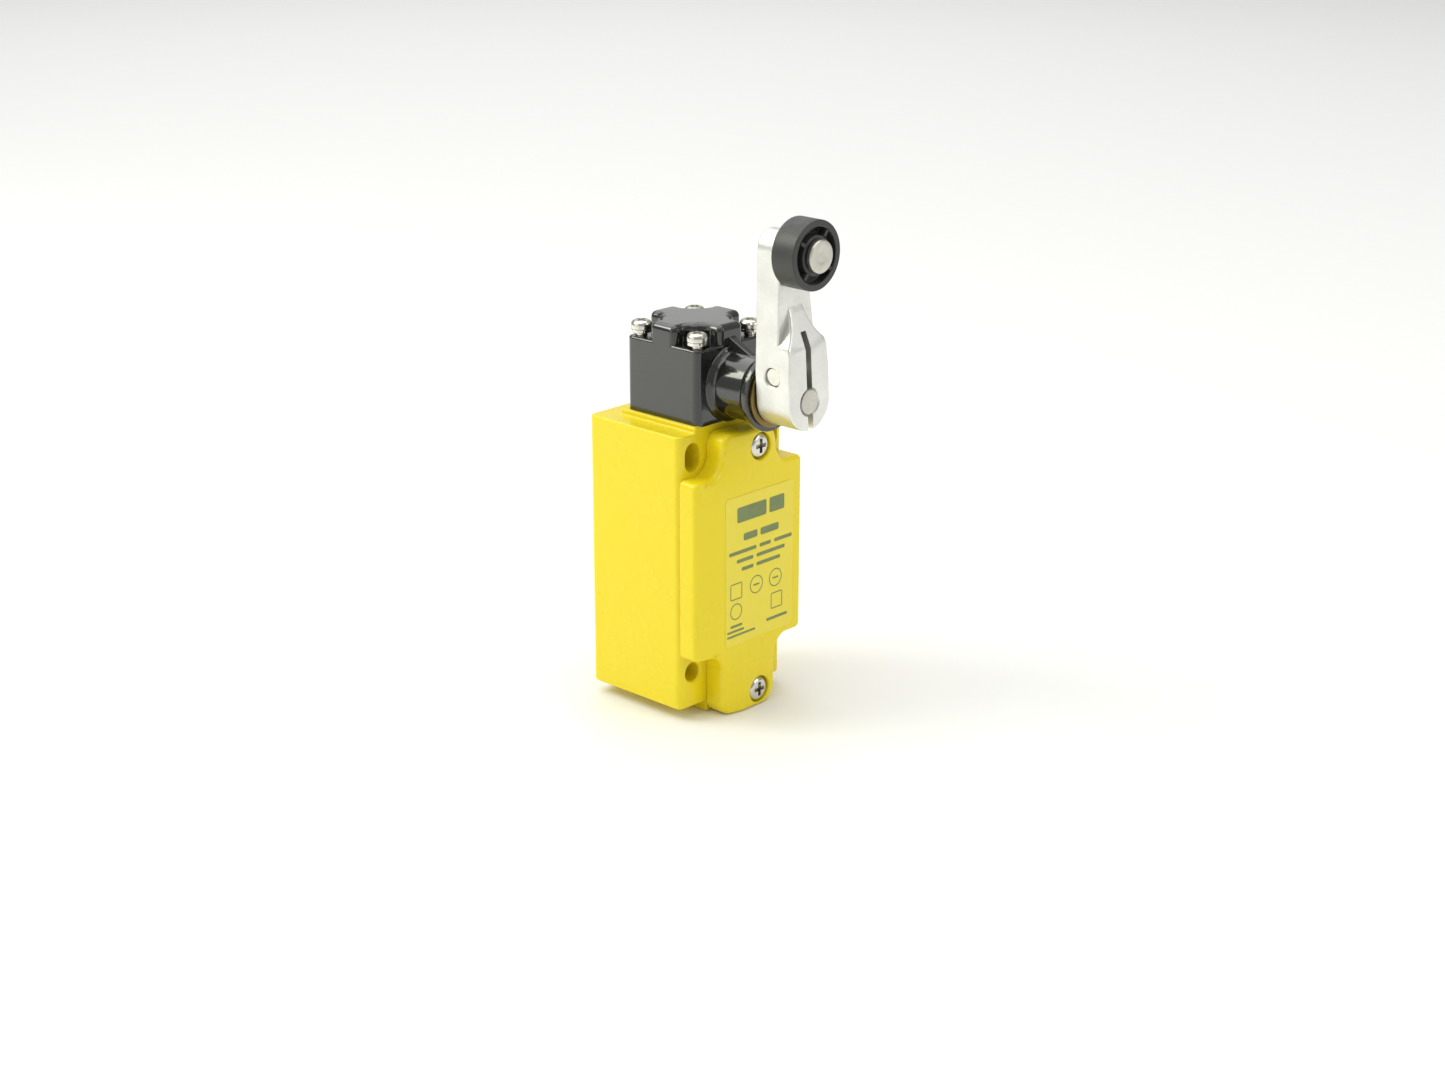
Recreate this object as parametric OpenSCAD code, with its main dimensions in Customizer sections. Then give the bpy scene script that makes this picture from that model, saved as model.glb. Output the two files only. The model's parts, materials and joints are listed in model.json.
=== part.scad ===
// Roller lever limit switch: die-cast body with a bolted front cover, a bolted rotary head and a
// clamped roller lever. The head drives a spring-returned plunger, which moves the contacts.
// Frame: +Z up, the front cover faces -Y. The origin is the middle of the four mounting holes,
// on the back face. Y is 0 at the back face and negative towards the front.

/* [Body] */
// Width of the body across X
body_w = 40; // [40:0.5:60]
// Depth of the body from the back face to the cover joint
body_d = 33.4; // [33:0.2:50]
// Height of the body above the upper mounting holes
top_margin = 6.2; // [5.5:0.1:12]
// Height of the body below the lower mounting holes
bottom_margin = 9.8; // [8.6:0.1:14]
// Radius of the upright edges
body_edge_r = 1.8; // [0.5:0.1:2]
// Thickness of the side and back walls
wall = 3; // [2.5:0.1:4]
// Height of the raised seat under the head
seat_h = 1.6; // [1:0.1:3]
// Margin of the seat round the head
seat_margin = 1; // [0.5:0.1:2]
// Width of the conduit hub under the body
hub_w = 27; // [24:0.5:32]
// Drop of the conduit hub below the body
hub_drop = 3.2; // [2.8:0.1:8]
// Height of the contact chamber above the origin
chamber_top = 22.4; // [22:0.1:23]
// Depth of the contact chamber below the origin
chamber_bottom = 22.4; // [22:0.1:23]
// Width of the wiring space below the contact chamber
wiring_w = 16; // [12:0.5:16]
// Depth of the wiring space floor below the origin
wiring_floor = 33; // [30:0.1:34]

/* [Mounting] */
// Spacing of the mounting holes across X
hole_pitch_x = 30; // [28:0.5:30]
// Spacing of the mounting holes along Z
hole_pitch_z = 60; // [60:0.5:70]
// Width of the mounting holes and slots
hole_d = 5.3; // [4.2:0.1:5.5]
// Length of the upper mounting slots along Z
slot_len = 7.6; // [6:0.1:9]
// Radius of the conduit entry
conduit_r = 9.2; // [7:0.1:9.2]
// Distance of the conduit axis from the back face
conduit_y = 16.5; // [15:0.1:17]

/* [Cover] */
// Thickness of the cover
cover_t = 7.3; // [6:0.1:10]
// Thickness of the cover's front wall
cover_wall = 2.5; // [2:0.1:3.5]
// Width of the upper and lower tabs
tab_w = 19.6; // [19.6:0.1:20]
// Height of the cover's shoulders above and below the origin
shoulder_h = 24.8; // [24.6:0.1:25]
// Gap from the top of the upper tab to the top of the body
tab_top_gap = 0.4; // [0.2:0.1:2]
// Radius of the left corners of the tabs
tab_left_r = 3.5; // [1:0.1:5]
// Radius of the right corners of the tabs, round the screws
tab_right_r = 5; // [1:0.1:6]
// Offset of the cover screws to the right
cover_screw_x = 3.6; // [0:0.1:4]
// Height of the upper cover screw above the origin
upper_screw_z = 30.6; // [29:0.1:31]
// Distance of the lower cover screw below the origin
lower_screw_z = 38.4; // [37:0.1:38.6]
// Diameter of the cover screw heads
cover_head_d = 7; // [6:0.1:7.4]
// Depth of the counterbores for the cover screw heads
cover_counterbore = 2.6; // [2:0.1:3.5]
// Diameter of the cover screw thread
cover_thread_d = 4; // [3:0.1:4.5]
// Width of the sloping border left of the cover's flat front
border_w = 7.8; // [4:0.1:9]
// Depth that the sloping border drops back
border_drop = 1.6; // [0.5:0.1:2.2]
// Radius of the round ends of the sloping border, beside the tabs
border_r = 9.1; // [7:0.1:9.4]
// Height of the upper round end above the origin
upper_border_z = 28.9; // [27:0.1:30]
// Distance of the lower round end below the origin
lower_border_z = 33; // [30:0.1:35]
// Width of the marking film on the cover
film_w = 26.5; // [16:0.1:28]
// Height of the marking film
film_h = 41.4; // [20:0.2:44]
// Thickness of the marking film
film_t = 0.15; // [0.1:0.05:0.3]

/* [Head] */
// Width and depth of the square head
head_w = 26; // [26:0.2:27]
// Height of the corner pads above the seat
pad_h = 21; // [20:0.2:26]
// Height of the raised cross above the pads
cross_h = 4.2; // [3:0.1:6]
// Width of each arm of the raised cross
cross_w = 9.2; // [7:0.1:10]
// Radius of the round middle of the raised cross
cross_round_r = 9.3; // [7:0.1:9.5]
// Radius of the head's upright edges
head_edge_r = 2; // [0.5:0.1:2.5]
// Distance of the head screws from the head's axis, along X and along Y
head_screw_offset = 10.1; // [10:0.1:10.4]
// Diameter of the head screw heads
head_screw_head_d = 5.6; // [5:0.1:5.8]
// Diameter of the head screw thread
head_thread_d = 3; // [2.5:0.1:3.2]
// Height of the shaft axis above the seat
shaft_rise = 9.4; // [9.2:0.1:10]
// Length of the round boss in front of the head
boss_len = 14.4; // [13:0.1:20]
// Radius of the boss barrel
boss_r = 8.8; // [8:0.1:9]
// Radius of the lip at the end of the boss
lip_r = 10.3; // [9:0.1:10.4]
// Thickness of the lip at the end of the boss
lip_t = 1.8; // [1:0.1:3]
// Radius of the ring where the boss meets the head
root_ring_r = 10.8; // [9:0.1:11.5]
// Radius of the thrust ring at the end of the boss
thrust_ring_r = 9; // [7:0.1:9.5]
// Thickness of the thrust ring
thrust_ring_t = 0.8; // [0.6:0.1:1.5]
// Radius of the cam on the shaft
cam_r = 6; // [5.6:0.1:6]

/* [Lever] */
// Diameter of the operating shaft
shaft_d = 7; // [6:0.1:8]
// Lean of the lever towards -X at rest, in degrees
lever_tilt = 3.9; // [0:0.1:10]
// Distance from the shaft axis to the roller axis
lever_len = 39; // [37:0.5:60]
// Thickness of the lever's arm
arm_t = 7.7; // [6:0.1:8]
// Thickness of the lever's clamping block
block_t = 11.7; // [10.5:0.1:14]
// Width of the clamping block
block_w = 15.3; // [14.6:0.1:18]
// Width of the round end of the arm
arm_end_w = 10; // [8:0.1:12]
// Width of the clamping slot
clamp_slot_w = 2; // [1:0.1:2.2]
// Height of the end of the clamping slot above the shaft axis
clamp_slot_end = 18.5; // [16:0.1:20]
// Height of the clamping screw above the shaft axis
clamp_screw_rise = 7.4; // [7.4:0.1:9]
// Diameter of the clamping screw
clamp_screw_d = 5; // [4:0.1:5]
// Diameter of the roller
roller_d = 18; // [14:0.5:24]
// Width of the roller
roller_w = 7.3; // [6:0.1:12]
// Diameter of the roller pin
roller_pin_d = 5; // [4:0.1:6]
// Diameter of the roller pin's head
roller_pin_head_d = 8.6; // [8:0.1:9.6]
// Turn of the roller's spokes from upright, in degrees
spoke_turn = 25; // [0:1:90]

/* [Contacts] */
// Width of the contact block
contact_block_w = 29; // [28:0.5:31]
// Gap from the contact block's front to the cover joint
contact_block_gap = 3.9; // [3.4:0.1:3.9]
// Travel of the plunger and the contacts
plunger_travel = 2.5; // [1:0.1:2.5]
// Gap between the open contacts at rest
open_gap = 2.8; // [2.8:0.1:3]

/* [Hidden] */
$fn = 64;

// Fits and small common sizes
cut = 1; // how far a cutting shape runs past the surface that it cuts
run_gap = 0.05; // radial clearance of a turning or sliding fit
thread_gap = 0.05; // radial clearance between a thread's outside and its tapped hole
loose_gap = 0.3; // gap between two pieces that move past each other
clear_gap = 0.25; // radial clearance of a screw in an untapped hole
gasket_w = 1; // width of the gaskets
gasket_t = 0.8; // depth of the gaskets
gasket_margin = 0.6; // distance of a gasket from the hollow that it seals

// Heights
body_top = hole_pitch_z / 2 + top_margin;
body_bottom = -hole_pitch_z / 2 - bottom_margin;
hub_bottom = body_bottom - hub_drop;
seat_z = body_top + seat_h;
pad_z = seat_z + pad_h;
cross_z = pad_z + cross_h;
shaft_z = seat_z + shaft_rise;

// Depths
joint_y = -body_d;
cover_y = joint_y - cover_t;
head_y = joint_y + head_w / 2;
boss_y = joint_y - boss_len;
ring_y = boss_y - thrust_ring_t;
lever_y = ring_y - 0.2;
arm_y = lever_y - arm_t;
block_y = lever_y - block_t;

// Body chamber
chamber_w = body_w - 2 * wall;
film_x = 2.95;
film_z = -1.95;
conduit_bore_y = -conduit_y;
hub_back = -6;
hub_front = joint_y + 6;
upper_tap = 7.6; // depth of the tapped hole for the upper cover screw
lower_tap = 6.4; // depth of the tapped hole for the lower cover screw
cover_screw_reach = 5.5; // how far the cover screws go into the body
head_screw_reach = 7.5; // how far the head screws go into the body
head_tap = head_screw_reach + 1.5;
washer_h = 0.9;

// Head hollow: a cross-shaped space, open downwards, between four corner columns
hollow_x = 10.4;
hollow_front = head_y - 9;
hollow_back = head_y + 8;
hollow_arm = 6;
hollow_top = pad_z - 2;

// Shaft train
shaft_r = shaft_d / 2;
pivot_r = shaft_r - 1;
pivot_len = 3;
bushing_r = shaft_r + 2;
seal_r = bushing_r + 0.9;
seal_t = 1.3;
cam_t = 8;
cam_flat = 4;
cam_pin_r = 0.8;
circlip_t = 0.8;
circlip_w = 1.4; // how far the circlip stands out from the shaft
circlip_groove = 0.5;
circlip_y = hollow_front + loose_gap;

// Plunger column, below the cam
cap_r = 5.2;
cap_t = 1.7;
cap_z = shaft_z - cam_r - 0.2;
rod_r = 3;
rod_bottom = chamber_top - 0.6;
spring_floor = seat_z - 3.6;
spring_r = 4.3;
spring_wire_r = 0.35;
spring_turns = 4;
spring_bore_r = 5.5;

// Contact block
block_top = rod_bottom - 3.4;
block_bottom = -20;
block_back = -wall;
block_front = joint_y + contact_block_gap;
channel_w = 13;
channel_top = block_top - 4;
channel_bottom = block_bottom + 4;
channel_back = head_y + 6;
pocket_x = 8;
pocket_back = head_y - 1.6;
plate_t = 1;
closed_z = 7.5;
open_z = -9;
terminal_x = 11.2;
terminal_half = 3.3;
tongue_in = 3.4;
tip_x = 4.6;
tip_r = 1.1;
tip_t = 0.5;
touch_gap = 0.1;
bridge_t = 0.8;
bridge_x = 5.8;
bridge_y = 1.9;
bridge_spring_len = 3.6;
carrier_x = 2.6;
carrier_y = 3.4;
carrier_top = 12.5;
carrier_bottom = -12.5;
upper_stem_r = 2.4;
lower_stem_r = 1.6;
lower_stem_end = block_bottom + 1.1;
closed_plate_top = closed_z - plate_t / 2 - 2 * tip_t - touch_gap;
open_plate_bottom = open_z + plate_t / 2 + 2 * tip_t + open_gap;
block_screw_x = 11.5;
block_screw_r = 1.25;
block_screw_tap = 2; // depth of the tapped hole in the back wall
block_screw_seat = block_back - 6;
terminal_screw_r = 1.75;
terminal_clamp_t = 0.8;
contact_front_y = head_y + 2.4; // back edge of the fixed contacts' tongues
block_screw_z = [block_top - 3.2, block_bottom + 3.2];

// Ground terminal in the wiring space
ground_x = -4.4;
ground_z = -28.2;
ground_boss_t = 2.5;
ground_boss_r = 3;
ground_screw_r = 1.5;
ground_clamp_t = 0.8;
ground_clamp_half = 2.8;
ground_y = -wall - ground_boss_t;

// Lever and roller
foot_straight = 8; // height above the shaft axis where the arm starts to taper
rivet_flare = 1.2; // countersink where the pin is riveted over at the back
block_shoulder = 14.1;
slope_end = 25;
rib_half = 2.8;
scoop_r = 12.7;
clamp_screw_y = lever_y - 5.9;
clamp_head_r = 4.25;
clamp_head_len = 4.6;
washer_t = 0.4;
roller_gap = 0.2; // gap on each side of the roller
roller_y = arm_y - washer_t - roller_gap;
roller_front = roller_y - roller_w;
pin_head_y = roller_front - roller_gap;
pin_head_t = 1.5;
roller_r = roller_d / 2;
rim_t = 1.8;
roller_hub_r = 5.2;
spoke_w = 1;

// Shapes used by several pieces

// Box from the low corner to the high corner
module block_between(low, high) {
    translate(low) cube(high - low);
}

// Round bar along Y, from the back to the front
module bar_y(r, back, front, x = 0, z = 0) {
    translate([x, back, z]) rotate([90, 0, 0]) cylinder(r = r, h = back - front);
}

// Cone along Y, from the back radius to the front radius
module cone_y(back_r, front_r, back, front, z, x = 0) {
    translate([x, back, z]) rotate([90, 0, 0]) cylinder(r1 = back_r, r2 = front_r, h = back - front);
}

// Flat outline in X and Z, made thick from the back to the front
module plate_y(back, front) {
    translate([0, back, 0]) rotate([90, 0, 0]) linear_extrude(back - front) children();
}

// Rectangle with round corners, centred
module rounded_rect(w, h, r) {
    square([w - 2 * r, h], center = true);
    square([w, h - 2 * r], center = true);
    for (x = [-1, 1], y = [-1, 1]) {
        translate([x * (w / 2 - r), y * (h / 2 - r)]) circle(r = r);
    }
}

// Rectangle between two corners, for an outline
module rect_between(low, high) {
    translate(low) square(high - low);
}

// Cross-shaped driver recess, cut along -Z from the plane z = 0
module cross_recess(size, deep) {
    translate([0, 0, -deep / 2 + cut / 2]) {
        cube([size, size * 0.24, deep + cut], center = true);
        cube([size * 0.24, size, deep + cut], center = true);
    }
}

// Pan head screw: the head's underside is at z = 0, the head points to +Z
module pan_screw(head_d, head_h, thread_d, len) {
    difference() {
        union() {
            cylinder(d = head_d, h = head_h * 0.55);
            translate([0, 0, head_h * 0.55])
                cylinder(d1 = head_d, d2 = head_d * 0.72, h = head_h * 0.45);
        }
        translate([0, 0, head_h]) cross_recess(head_d * 0.56, head_h * 0.55);
    }
    translate([0, 0, -len]) cylinder(d = thread_d, h = len);
}

// Helical spring standing on z = 0: each ring of points lies in a plane through the axis
module helical_spring(r, wire_r, height, turns) {
    sides = 8;
    per_turn = 20;
    rings = turns * per_turn + 1;
    rise = height - 2 * wire_r;
    points = [
        for (i = [0 : rings - 1], j = [0 : sides - 1])
            let (turn = 360 * i / per_turn, side = 360 * j / sides, out = r + wire_r * cos(side))
                [out * cos(turn), out * sin(turn),
                 wire_r + rise * i / (rings - 1) + wire_r * sin(side)]
    ];
    walls = [
        for (i = [0 : rings - 2], j = [0 : sides - 1])
            let (k = (j + 1) % sides)
                [i * sides + j, i * sides + k, (i + 1) * sides + k, (i + 1) * sides + j]
    ];
    first_end = [for (j = [sides - 1 : -1 : 0]) j];
    last_end = [for (j = [0 : sides - 1]) (rings - 1) * sides + j];
    polyhedron(points = points, faces = concat(walls, [first_end, last_end]));
}

// Places at the four head screws
module at_head_screws() {
    for (x = [-1, 1], y = [-1, 1]) {
        translate([x * head_screw_offset, head_y + y * head_screw_offset, 0]) children();
    }
}

// Places at the two cover screws, with the head pointing to the front
module at_cover_screws(y) {
    for (z = [upper_screw_z, -lower_screw_z]) {
        translate([cover_screw_x, y, z]) rotate([90, 0, 0]) children();
    }
}

// Hollow of the body in X and Z, larger by a margin
module chamber_outline(margin = 0) {
    rect_between([-chamber_w / 2 - margin, -chamber_bottom - margin],
                 [chamber_w / 2 + margin, chamber_top + margin]);
    rect_between([-wiring_w / 2 - margin, -wiring_floor - margin],
                 [wiring_w / 2 + margin, 0]);
}

// Outline of the cover gasket
module cover_gasket_outline() {
    difference() {
        chamber_outline(gasket_margin + gasket_w);
        chamber_outline(gasket_margin);
    }
}

// Outline of the head gasket
module head_gasket_outline() {
    gasket_in = 2 * (spring_bore_r + gasket_margin);
    gasket_out = gasket_in + 2 * gasket_w;
    difference() {
        rounded_rect(gasket_out, gasket_out, 2);
        rounded_rect(gasket_in, gasket_in, 1);
    }
}

// Body

module mounting_cuts() {
    for (x = [-1, 1]) {
        bar_y(hole_d / 2, cut, joint_y - cut, x * hole_pitch_x / 2, -hole_pitch_z / 2);
        plate_y(cut, joint_y - cut)
            translate([x * hole_pitch_x / 2, hole_pitch_z / 2])
                rounded_rect(hole_d, slot_len, hole_d / 2 - 0.01);
    }
}

module housing() {
    color("gold") difference() {
        union() {
            translate([0, -body_d / 2, body_bottom])
                linear_extrude(body_top - body_bottom) rounded_rect(body_w, body_d, body_edge_r);
            block_between([-head_w / 2 - seat_margin, joint_y, body_top - cut],
                          [head_w / 2 + seat_margin, head_y + head_w / 2 + seat_margin, seat_z]);
            block_between([-hub_w / 2, hub_front, hub_bottom],
                          [hub_w / 2, hub_back, body_bottom + cut]);
            block_between([-tab_w / 2, joint_y, hub_bottom], [tab_w / 2, hub_back, body_bottom + cut]);
        }
        plate_y(-wall, joint_y - cut) chamber_outline();
        plate_y(joint_y + gasket_t, joint_y - cut) cover_gasket_outline();
        translate([0, conduit_bore_y, hub_bottom - cut])
            cylinder(r = conduit_r, h = cut - hub_bottom - wiring_floor);
        mounting_cuts();
        // plunger guide and spring bore
        translate([0, head_y, 0]) cylinder(r = rod_r + run_gap, h = seat_z);
        translate([0, head_y, spring_floor]) cylinder(r = spring_bore_r, h = seat_z);
        translate([0, head_y, seat_z - gasket_t]) linear_extrude(cut + gasket_t) head_gasket_outline();
        at_head_screws() translate([0, 0, seat_z - head_tap])
            cylinder(r = head_thread_d / 2 + thread_gap, h = head_tap + cut);
        // tapped holes for the cover screws
        bar_y(cover_thread_d / 2 + thread_gap, joint_y + upper_tap, joint_y - cut, cover_screw_x, upper_screw_z);
        bar_y(cover_thread_d / 2 + thread_gap, joint_y + lower_tap, joint_y - cut, cover_screw_x, -lower_screw_z);
        // tapped holes for the contact block
        for (i = [0, 1]) {
            bar_y(block_screw_r + thread_gap, block_screw_tap - wall, -wall - cut,
                  (i * 2 - 1) * block_screw_x, block_screw_z[i]);
        }
    }
    color("gold") difference() {
        bar_y(ground_boss_r, -wall + 0.01, ground_y, ground_x, ground_z);
        bar_y(ground_screw_r + thread_gap, -wall - 0.5, ground_y - cut, ground_x, ground_z);
    }
}

// Outline of a tab that reaches up from the origin, its left corner and its right corner round
module tab_outline(reach) {
    half = tab_w / 2;
    rect_between([-half, 0], [half, reach - tab_right_r]);
    rect_between([-half, 0], [0, reach - tab_left_r]);
    rect_between([tab_left_r - half, 0], [half - tab_right_r, reach]);
    translate([tab_left_r - half, reach - tab_left_r]) circle(r = tab_left_r);
    translate([half - tab_right_r, reach - tab_right_r]) circle(r = tab_right_r);
}

// Filler between a shoulder and a tab, with the round scoop beside the mounting hole. The scoop
// crosses the two straight edges at a slight angle, so no sliver is left where they meet.
module scoop_outline(side) {
    scoop_r = hole_pitch_z / 2 + 0.5 - shoulder_h;
    overlap = 0.15;
    reach = scoop_r - overlap;
    translate([side * (tab_w / 2 + reach), shoulder_h + reach]) difference() {
        translate([-side * (reach + cut) / 2, -(reach + cut) / 2])
            square(reach + cut, center = true);
        circle(r = scoop_r);
    }
}

// Outline of the cover: shoulders, two tabs and four scoops
module cover_outline() {
    rounded_rect(body_w, 2 * shoulder_h, 0.8);
    tab_outline(body_top - tab_top_gap);
    mirror([0, 1]) tab_outline(-hub_bottom);
    for (side = [-1, 1]) {
        scoop_outline(side);
        mirror([0, 1]) scoop_outline(side);
    }
}

// Wedge that slopes the front back from x_start towards the left, over a range of heights
module border_wedge(x_start, low, high) {
    slope = border_drop / border_w;
    reach = body_w;
    translate([x_start, cover_y, low]) linear_extrude(high - low) polygon([
        [0, 0], [-reach, slope * reach], [-reach, -cut], [0, -cut],
    ]);
}

// Sloping border on the left: straight beside the flat front and beside each tab, and a
// shallow dish between them. The dish is a little wider than the straight parts, so it crosses them.
module cover_border() {
    slope = border_drop / border_w;
    border_x = border_w - body_w / 2;
    dish_rim_r = border_r + 0.5;
    dish_bottom_r = 0.5;
    dish_t = slope * (dish_rim_r - dish_bottom_r);
    border_wedge(border_x, -lower_border_z, upper_border_z);
    border_wedge(border_x + border_r, upper_border_z, hole_pitch_z);
    border_wedge(border_x + border_r, -hole_pitch_z, -lower_border_z);
    for (z = [upper_border_z, -lower_border_z]) {
        cone_y(dish_bottom_r, dish_rim_r + cut / slope, cover_y + dish_t, cover_y - cut, z, border_x);
    }
}

module cover() {
    hollow_margin = 1.6;
    color("gold") difference() {
        plate_y(joint_y, cover_y) cover_outline();
        plate_y(joint_y + cut, cover_y + cover_wall)
            rounded_rect(chamber_w - 2 * hollow_margin, 2 * (chamber_top - hollow_margin), 2);
        at_cover_screws(joint_y + cut) cylinder(r = cover_thread_d / 2 + clear_gap, h = cover_t + 2 * cut);
        at_cover_screws(cover_y + cover_counterbore)
            cylinder(r = cover_head_d / 2 + clear_gap, h = cover_counterbore + cut);
        cover_border();
    }
}

module cover_gasket() {
    color("dimgray") plate_y(joint_y + gasket_t, joint_y) cover_gasket_outline();
}

module cover_screws() {
    head_h = 2.5;
    color("silver") at_cover_screws(cover_y + cover_counterbore)
        pan_screw(cover_head_d, head_h, cover_thread_d, cover_t - cover_counterbore + cover_screw_reach);
}

module marking_film() {
    color("khaki") plate_y(cover_y, cover_y - film_t)
        translate([film_x, film_z]) rounded_rect(film_w, film_h, 1);
}

// Head

module head_hollow() {
    block_between([-hollow_x, head_y - hollow_arm, seat_z - cut], [hollow_x, head_y + hollow_arm, hollow_top]);
    block_between([-hollow_arm, hollow_front, seat_z - cut], [hollow_arm, hollow_back, hollow_top]);
}

module head() {
    web_half = 1.3;
    flare = 1.5;
    color([0.08, 0.08, 0.09]) difference() {
        union() {
            translate([0, head_y, seat_z])
                linear_extrude(pad_h) rounded_rect(head_w, head_w, head_edge_r);
            translate([0, head_y, pad_z - cut]) linear_extrude(cross_h + cut) {
                rounded_rect(head_w, cross_w, 1);
                rounded_rect(cross_w, head_w, 1);
                circle(r = cross_round_r);
            }
            bar_y(boss_r, joint_y + cut, boss_y, 0, shaft_z);
            bar_y(root_ring_r, joint_y + cut, joint_y - 1.2, 0, shaft_z);
            bar_y(lip_r, boss_y + lip_t, boss_y, 0, shaft_z);
            cone_y(boss_r, lip_r, boss_y + lip_t + flare, boss_y + lip_t, shaft_z);
            // web between the cross and the boss
            translate([-web_half, 0, 0]) rotate([90, 0, 90]) linear_extrude(2 * web_half) polygon([
                [joint_y + 2, shaft_z],
                [joint_y + 2, cross_z - 1.4],
                [joint_y - 0.2, cross_z - 1.8],
                [joint_y - 8, shaft_z + boss_r + 0.6],
                [joint_y - 10, shaft_z + boss_r - 0.5],
                [joint_y - 10, shaft_z],
            ]);
        }
        head_hollow();
        // below the seat the root ring is cut flat
        block_between([-head_w, joint_y - 5, seat_z - 5], [head_w, joint_y + 1.5, seat_z]);
        bar_y(bushing_r, hollow_front + cut, boss_y - cut, 0, shaft_z);
        bar_y(seal_r, boss_y + seal_t, boss_y - cut, 0, shaft_z);
        bar_y(pivot_r + run_gap, hollow_back + pivot_len + loose_gap, hollow_back - cut, 0, shaft_z);
        at_head_screws() translate([0, 0, seat_z - cut])
            cylinder(r = head_thread_d / 2 + clear_gap, h = pad_h + cross_h + 2 * cut);
        // room for the screw heads beside the cross
        at_head_screws() translate([0, 0, pad_z]) cylinder(d = head_screw_head_d + 0.8, h = cross_h + cut);
    }
}

module head_gasket() {
    color("dimgray") translate([0, head_y, seat_z - gasket_t])
        linear_extrude(gasket_t) head_gasket_outline();
}

module head_screws() {
    color("silver") at_head_screws() translate([0, 0, pad_z + washer_h])
        pan_screw(head_screw_head_d, 2.3, head_thread_d, washer_h + pad_h + head_screw_reach);
}

module spring_washers() {
    color("silver") at_head_screws() translate([0, 0, pad_z]) difference() {
        cylinder(d = head_screw_head_d - 0.2, h = washer_h);
        translate([0, 0, -cut]) cylinder(r = head_thread_d / 2 + clear_gap, h = washer_h + 2 * cut);
        translate([0, -head_screw_head_d / 2, washer_h / 2])
            cube([0.5, head_screw_head_d, 2 * washer_h], center = true);
    }
}

module shaft_bushing() {
    color("peru") difference() {
        bar_y(bushing_r, hollow_front, boss_y + seal_t, 0, shaft_z);
        bar_y(shaft_r + run_gap, hollow_front + cut, boss_y - cut, 0, shaft_z);
    }
}

module shaft_seal() {
    color("dimgray") difference() {
        bar_y(seal_r, boss_y + seal_t, boss_y, 0, shaft_z);
        bar_y(shaft_r + run_gap, boss_y + seal_t + cut, boss_y - cut, 0, shaft_z);
    }
}

module thrust_ring() {
    color("goldenrod") difference() {
        bar_y(thrust_ring_r, boss_y, ring_y, 0, shaft_z);
        bar_y(shaft_r + run_gap, boss_y + cut, ring_y - cut, 0, shaft_z);
    }
}

// Contacts

module contact_block() {
    half = contact_block_w / 2;
    stop_t = 1.2;
    color([0.16, 0.16, 0.17]) difference() {
        block_between([-half, block_front, block_bottom], [half, block_back, block_top]);
        block_between([-channel_w / 2, block_front - cut, channel_bottom],
                      [channel_w / 2, channel_back, channel_top]);
        block_between([-channel_w / 2 - 1, block_front - cut, channel_bottom - 1],
                      [channel_w / 2 + 1, block_front + stop_t, channel_top + 1]);
        translate([0, head_y, 0]) cylinder(r = upper_stem_r + run_gap, h = block_top + cut);
        translate([0, head_y, block_bottom - cut]) cylinder(r = lower_stem_r + run_gap, h = 8);
        for (x = [-1, 1], z = [closed_z, open_z]) {
            // terminal pocket, open to the front and the side
            block_between([x > 0 ? pocket_x : -half - cut, block_front - cut, z - terminal_half - 1],
                          [x > 0 ? half + cut : -pocket_x, pocket_back, z + terminal_half + 1]);
            // slot for the tongue of the fixed contact
            block_between([x > 0 ? 0 : -pocket_x - cut, block_front - cut, z - plate_t / 2],
                          [x > 0 ? pocket_x + cut : 0, contact_front_y, z + plate_t / 2]);
            bar_y(terminal_screw_r + clear_gap, pocket_back + 4, pocket_back - cut, x * terminal_x, z);
        }
        for (i = [0, 1]) {
            bar_y(block_screw_r + clear_gap, cut, block_front - cut,
                  (i * 2 - 1) * block_screw_x, block_screw_z[i]);
            bar_y(3, block_screw_seat, block_front - cut, (i * 2 - 1) * block_screw_x, block_screw_z[i]);
        }
    }
}

module contact_block_cover() {
    lid_t = 1.2;
    color([0.75, 0.74, 0.68])
        block_between([-channel_w / 2 - 1, block_front, channel_bottom - 1],
                      [channel_w / 2 + 1, block_front + lid_t, channel_top + 1]);
}

module contact_block_screws() {
    color("silver") for (i = [0, 1]) {
        translate([(i * 2 - 1) * block_screw_x, block_screw_seat, block_screw_z[i]])
            rotate([90, 0, 0]) pan_screw(5, 1.9, 2 * block_screw_r, 7.6);
    }
}

// Terminal plate and tongue of each fixed contact pair, the tips on the side given by tip_side
module fixed_contacts(z, tip_side) {
    plate_out = contact_block_w / 2 - 0.4;
    for (x = [-1, 1]) {
        difference() {
            block_between([x > 0 ? pocket_x : -plate_out, pocket_back - plate_t, z - terminal_half],
                          [x > 0 ? plate_out : -pocket_x, pocket_back, z + terminal_half]);
            bar_y(terminal_screw_r + thread_gap, pocket_back + cut, pocket_back - plate_t - cut, x * terminal_x, z);
        }
        block_between([x > 0 ? tongue_in : -pocket_x, pocket_back - plate_t, z - plate_t / 2],
                      [x > 0 ? pocket_x : -tongue_in, contact_front_y, z + plate_t / 2]);
        translate([x * tip_x, head_y, z + tip_side * (plate_t + tip_t) / 2])
            cylinder(r = tip_r, h = tip_t, center = true);
    }
}

module closed_fixed_contacts() {
    color("goldenrod") fixed_contacts(closed_z, -1);
}

module open_fixed_contacts() {
    color("goldenrod") fixed_contacts(open_z, 1);
}

module terminal_screws() {
    head_h = 2.2;
    color("silver") for (x = [-1, 1], z = [closed_z, open_z]) {
        translate([x * terminal_x, pocket_back - plate_t - terminal_clamp_t, z])
            rotate([90, 0, 0]) pan_screw(5.6, head_h, 2 * terminal_screw_r, 5.4);
    }
}

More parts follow.
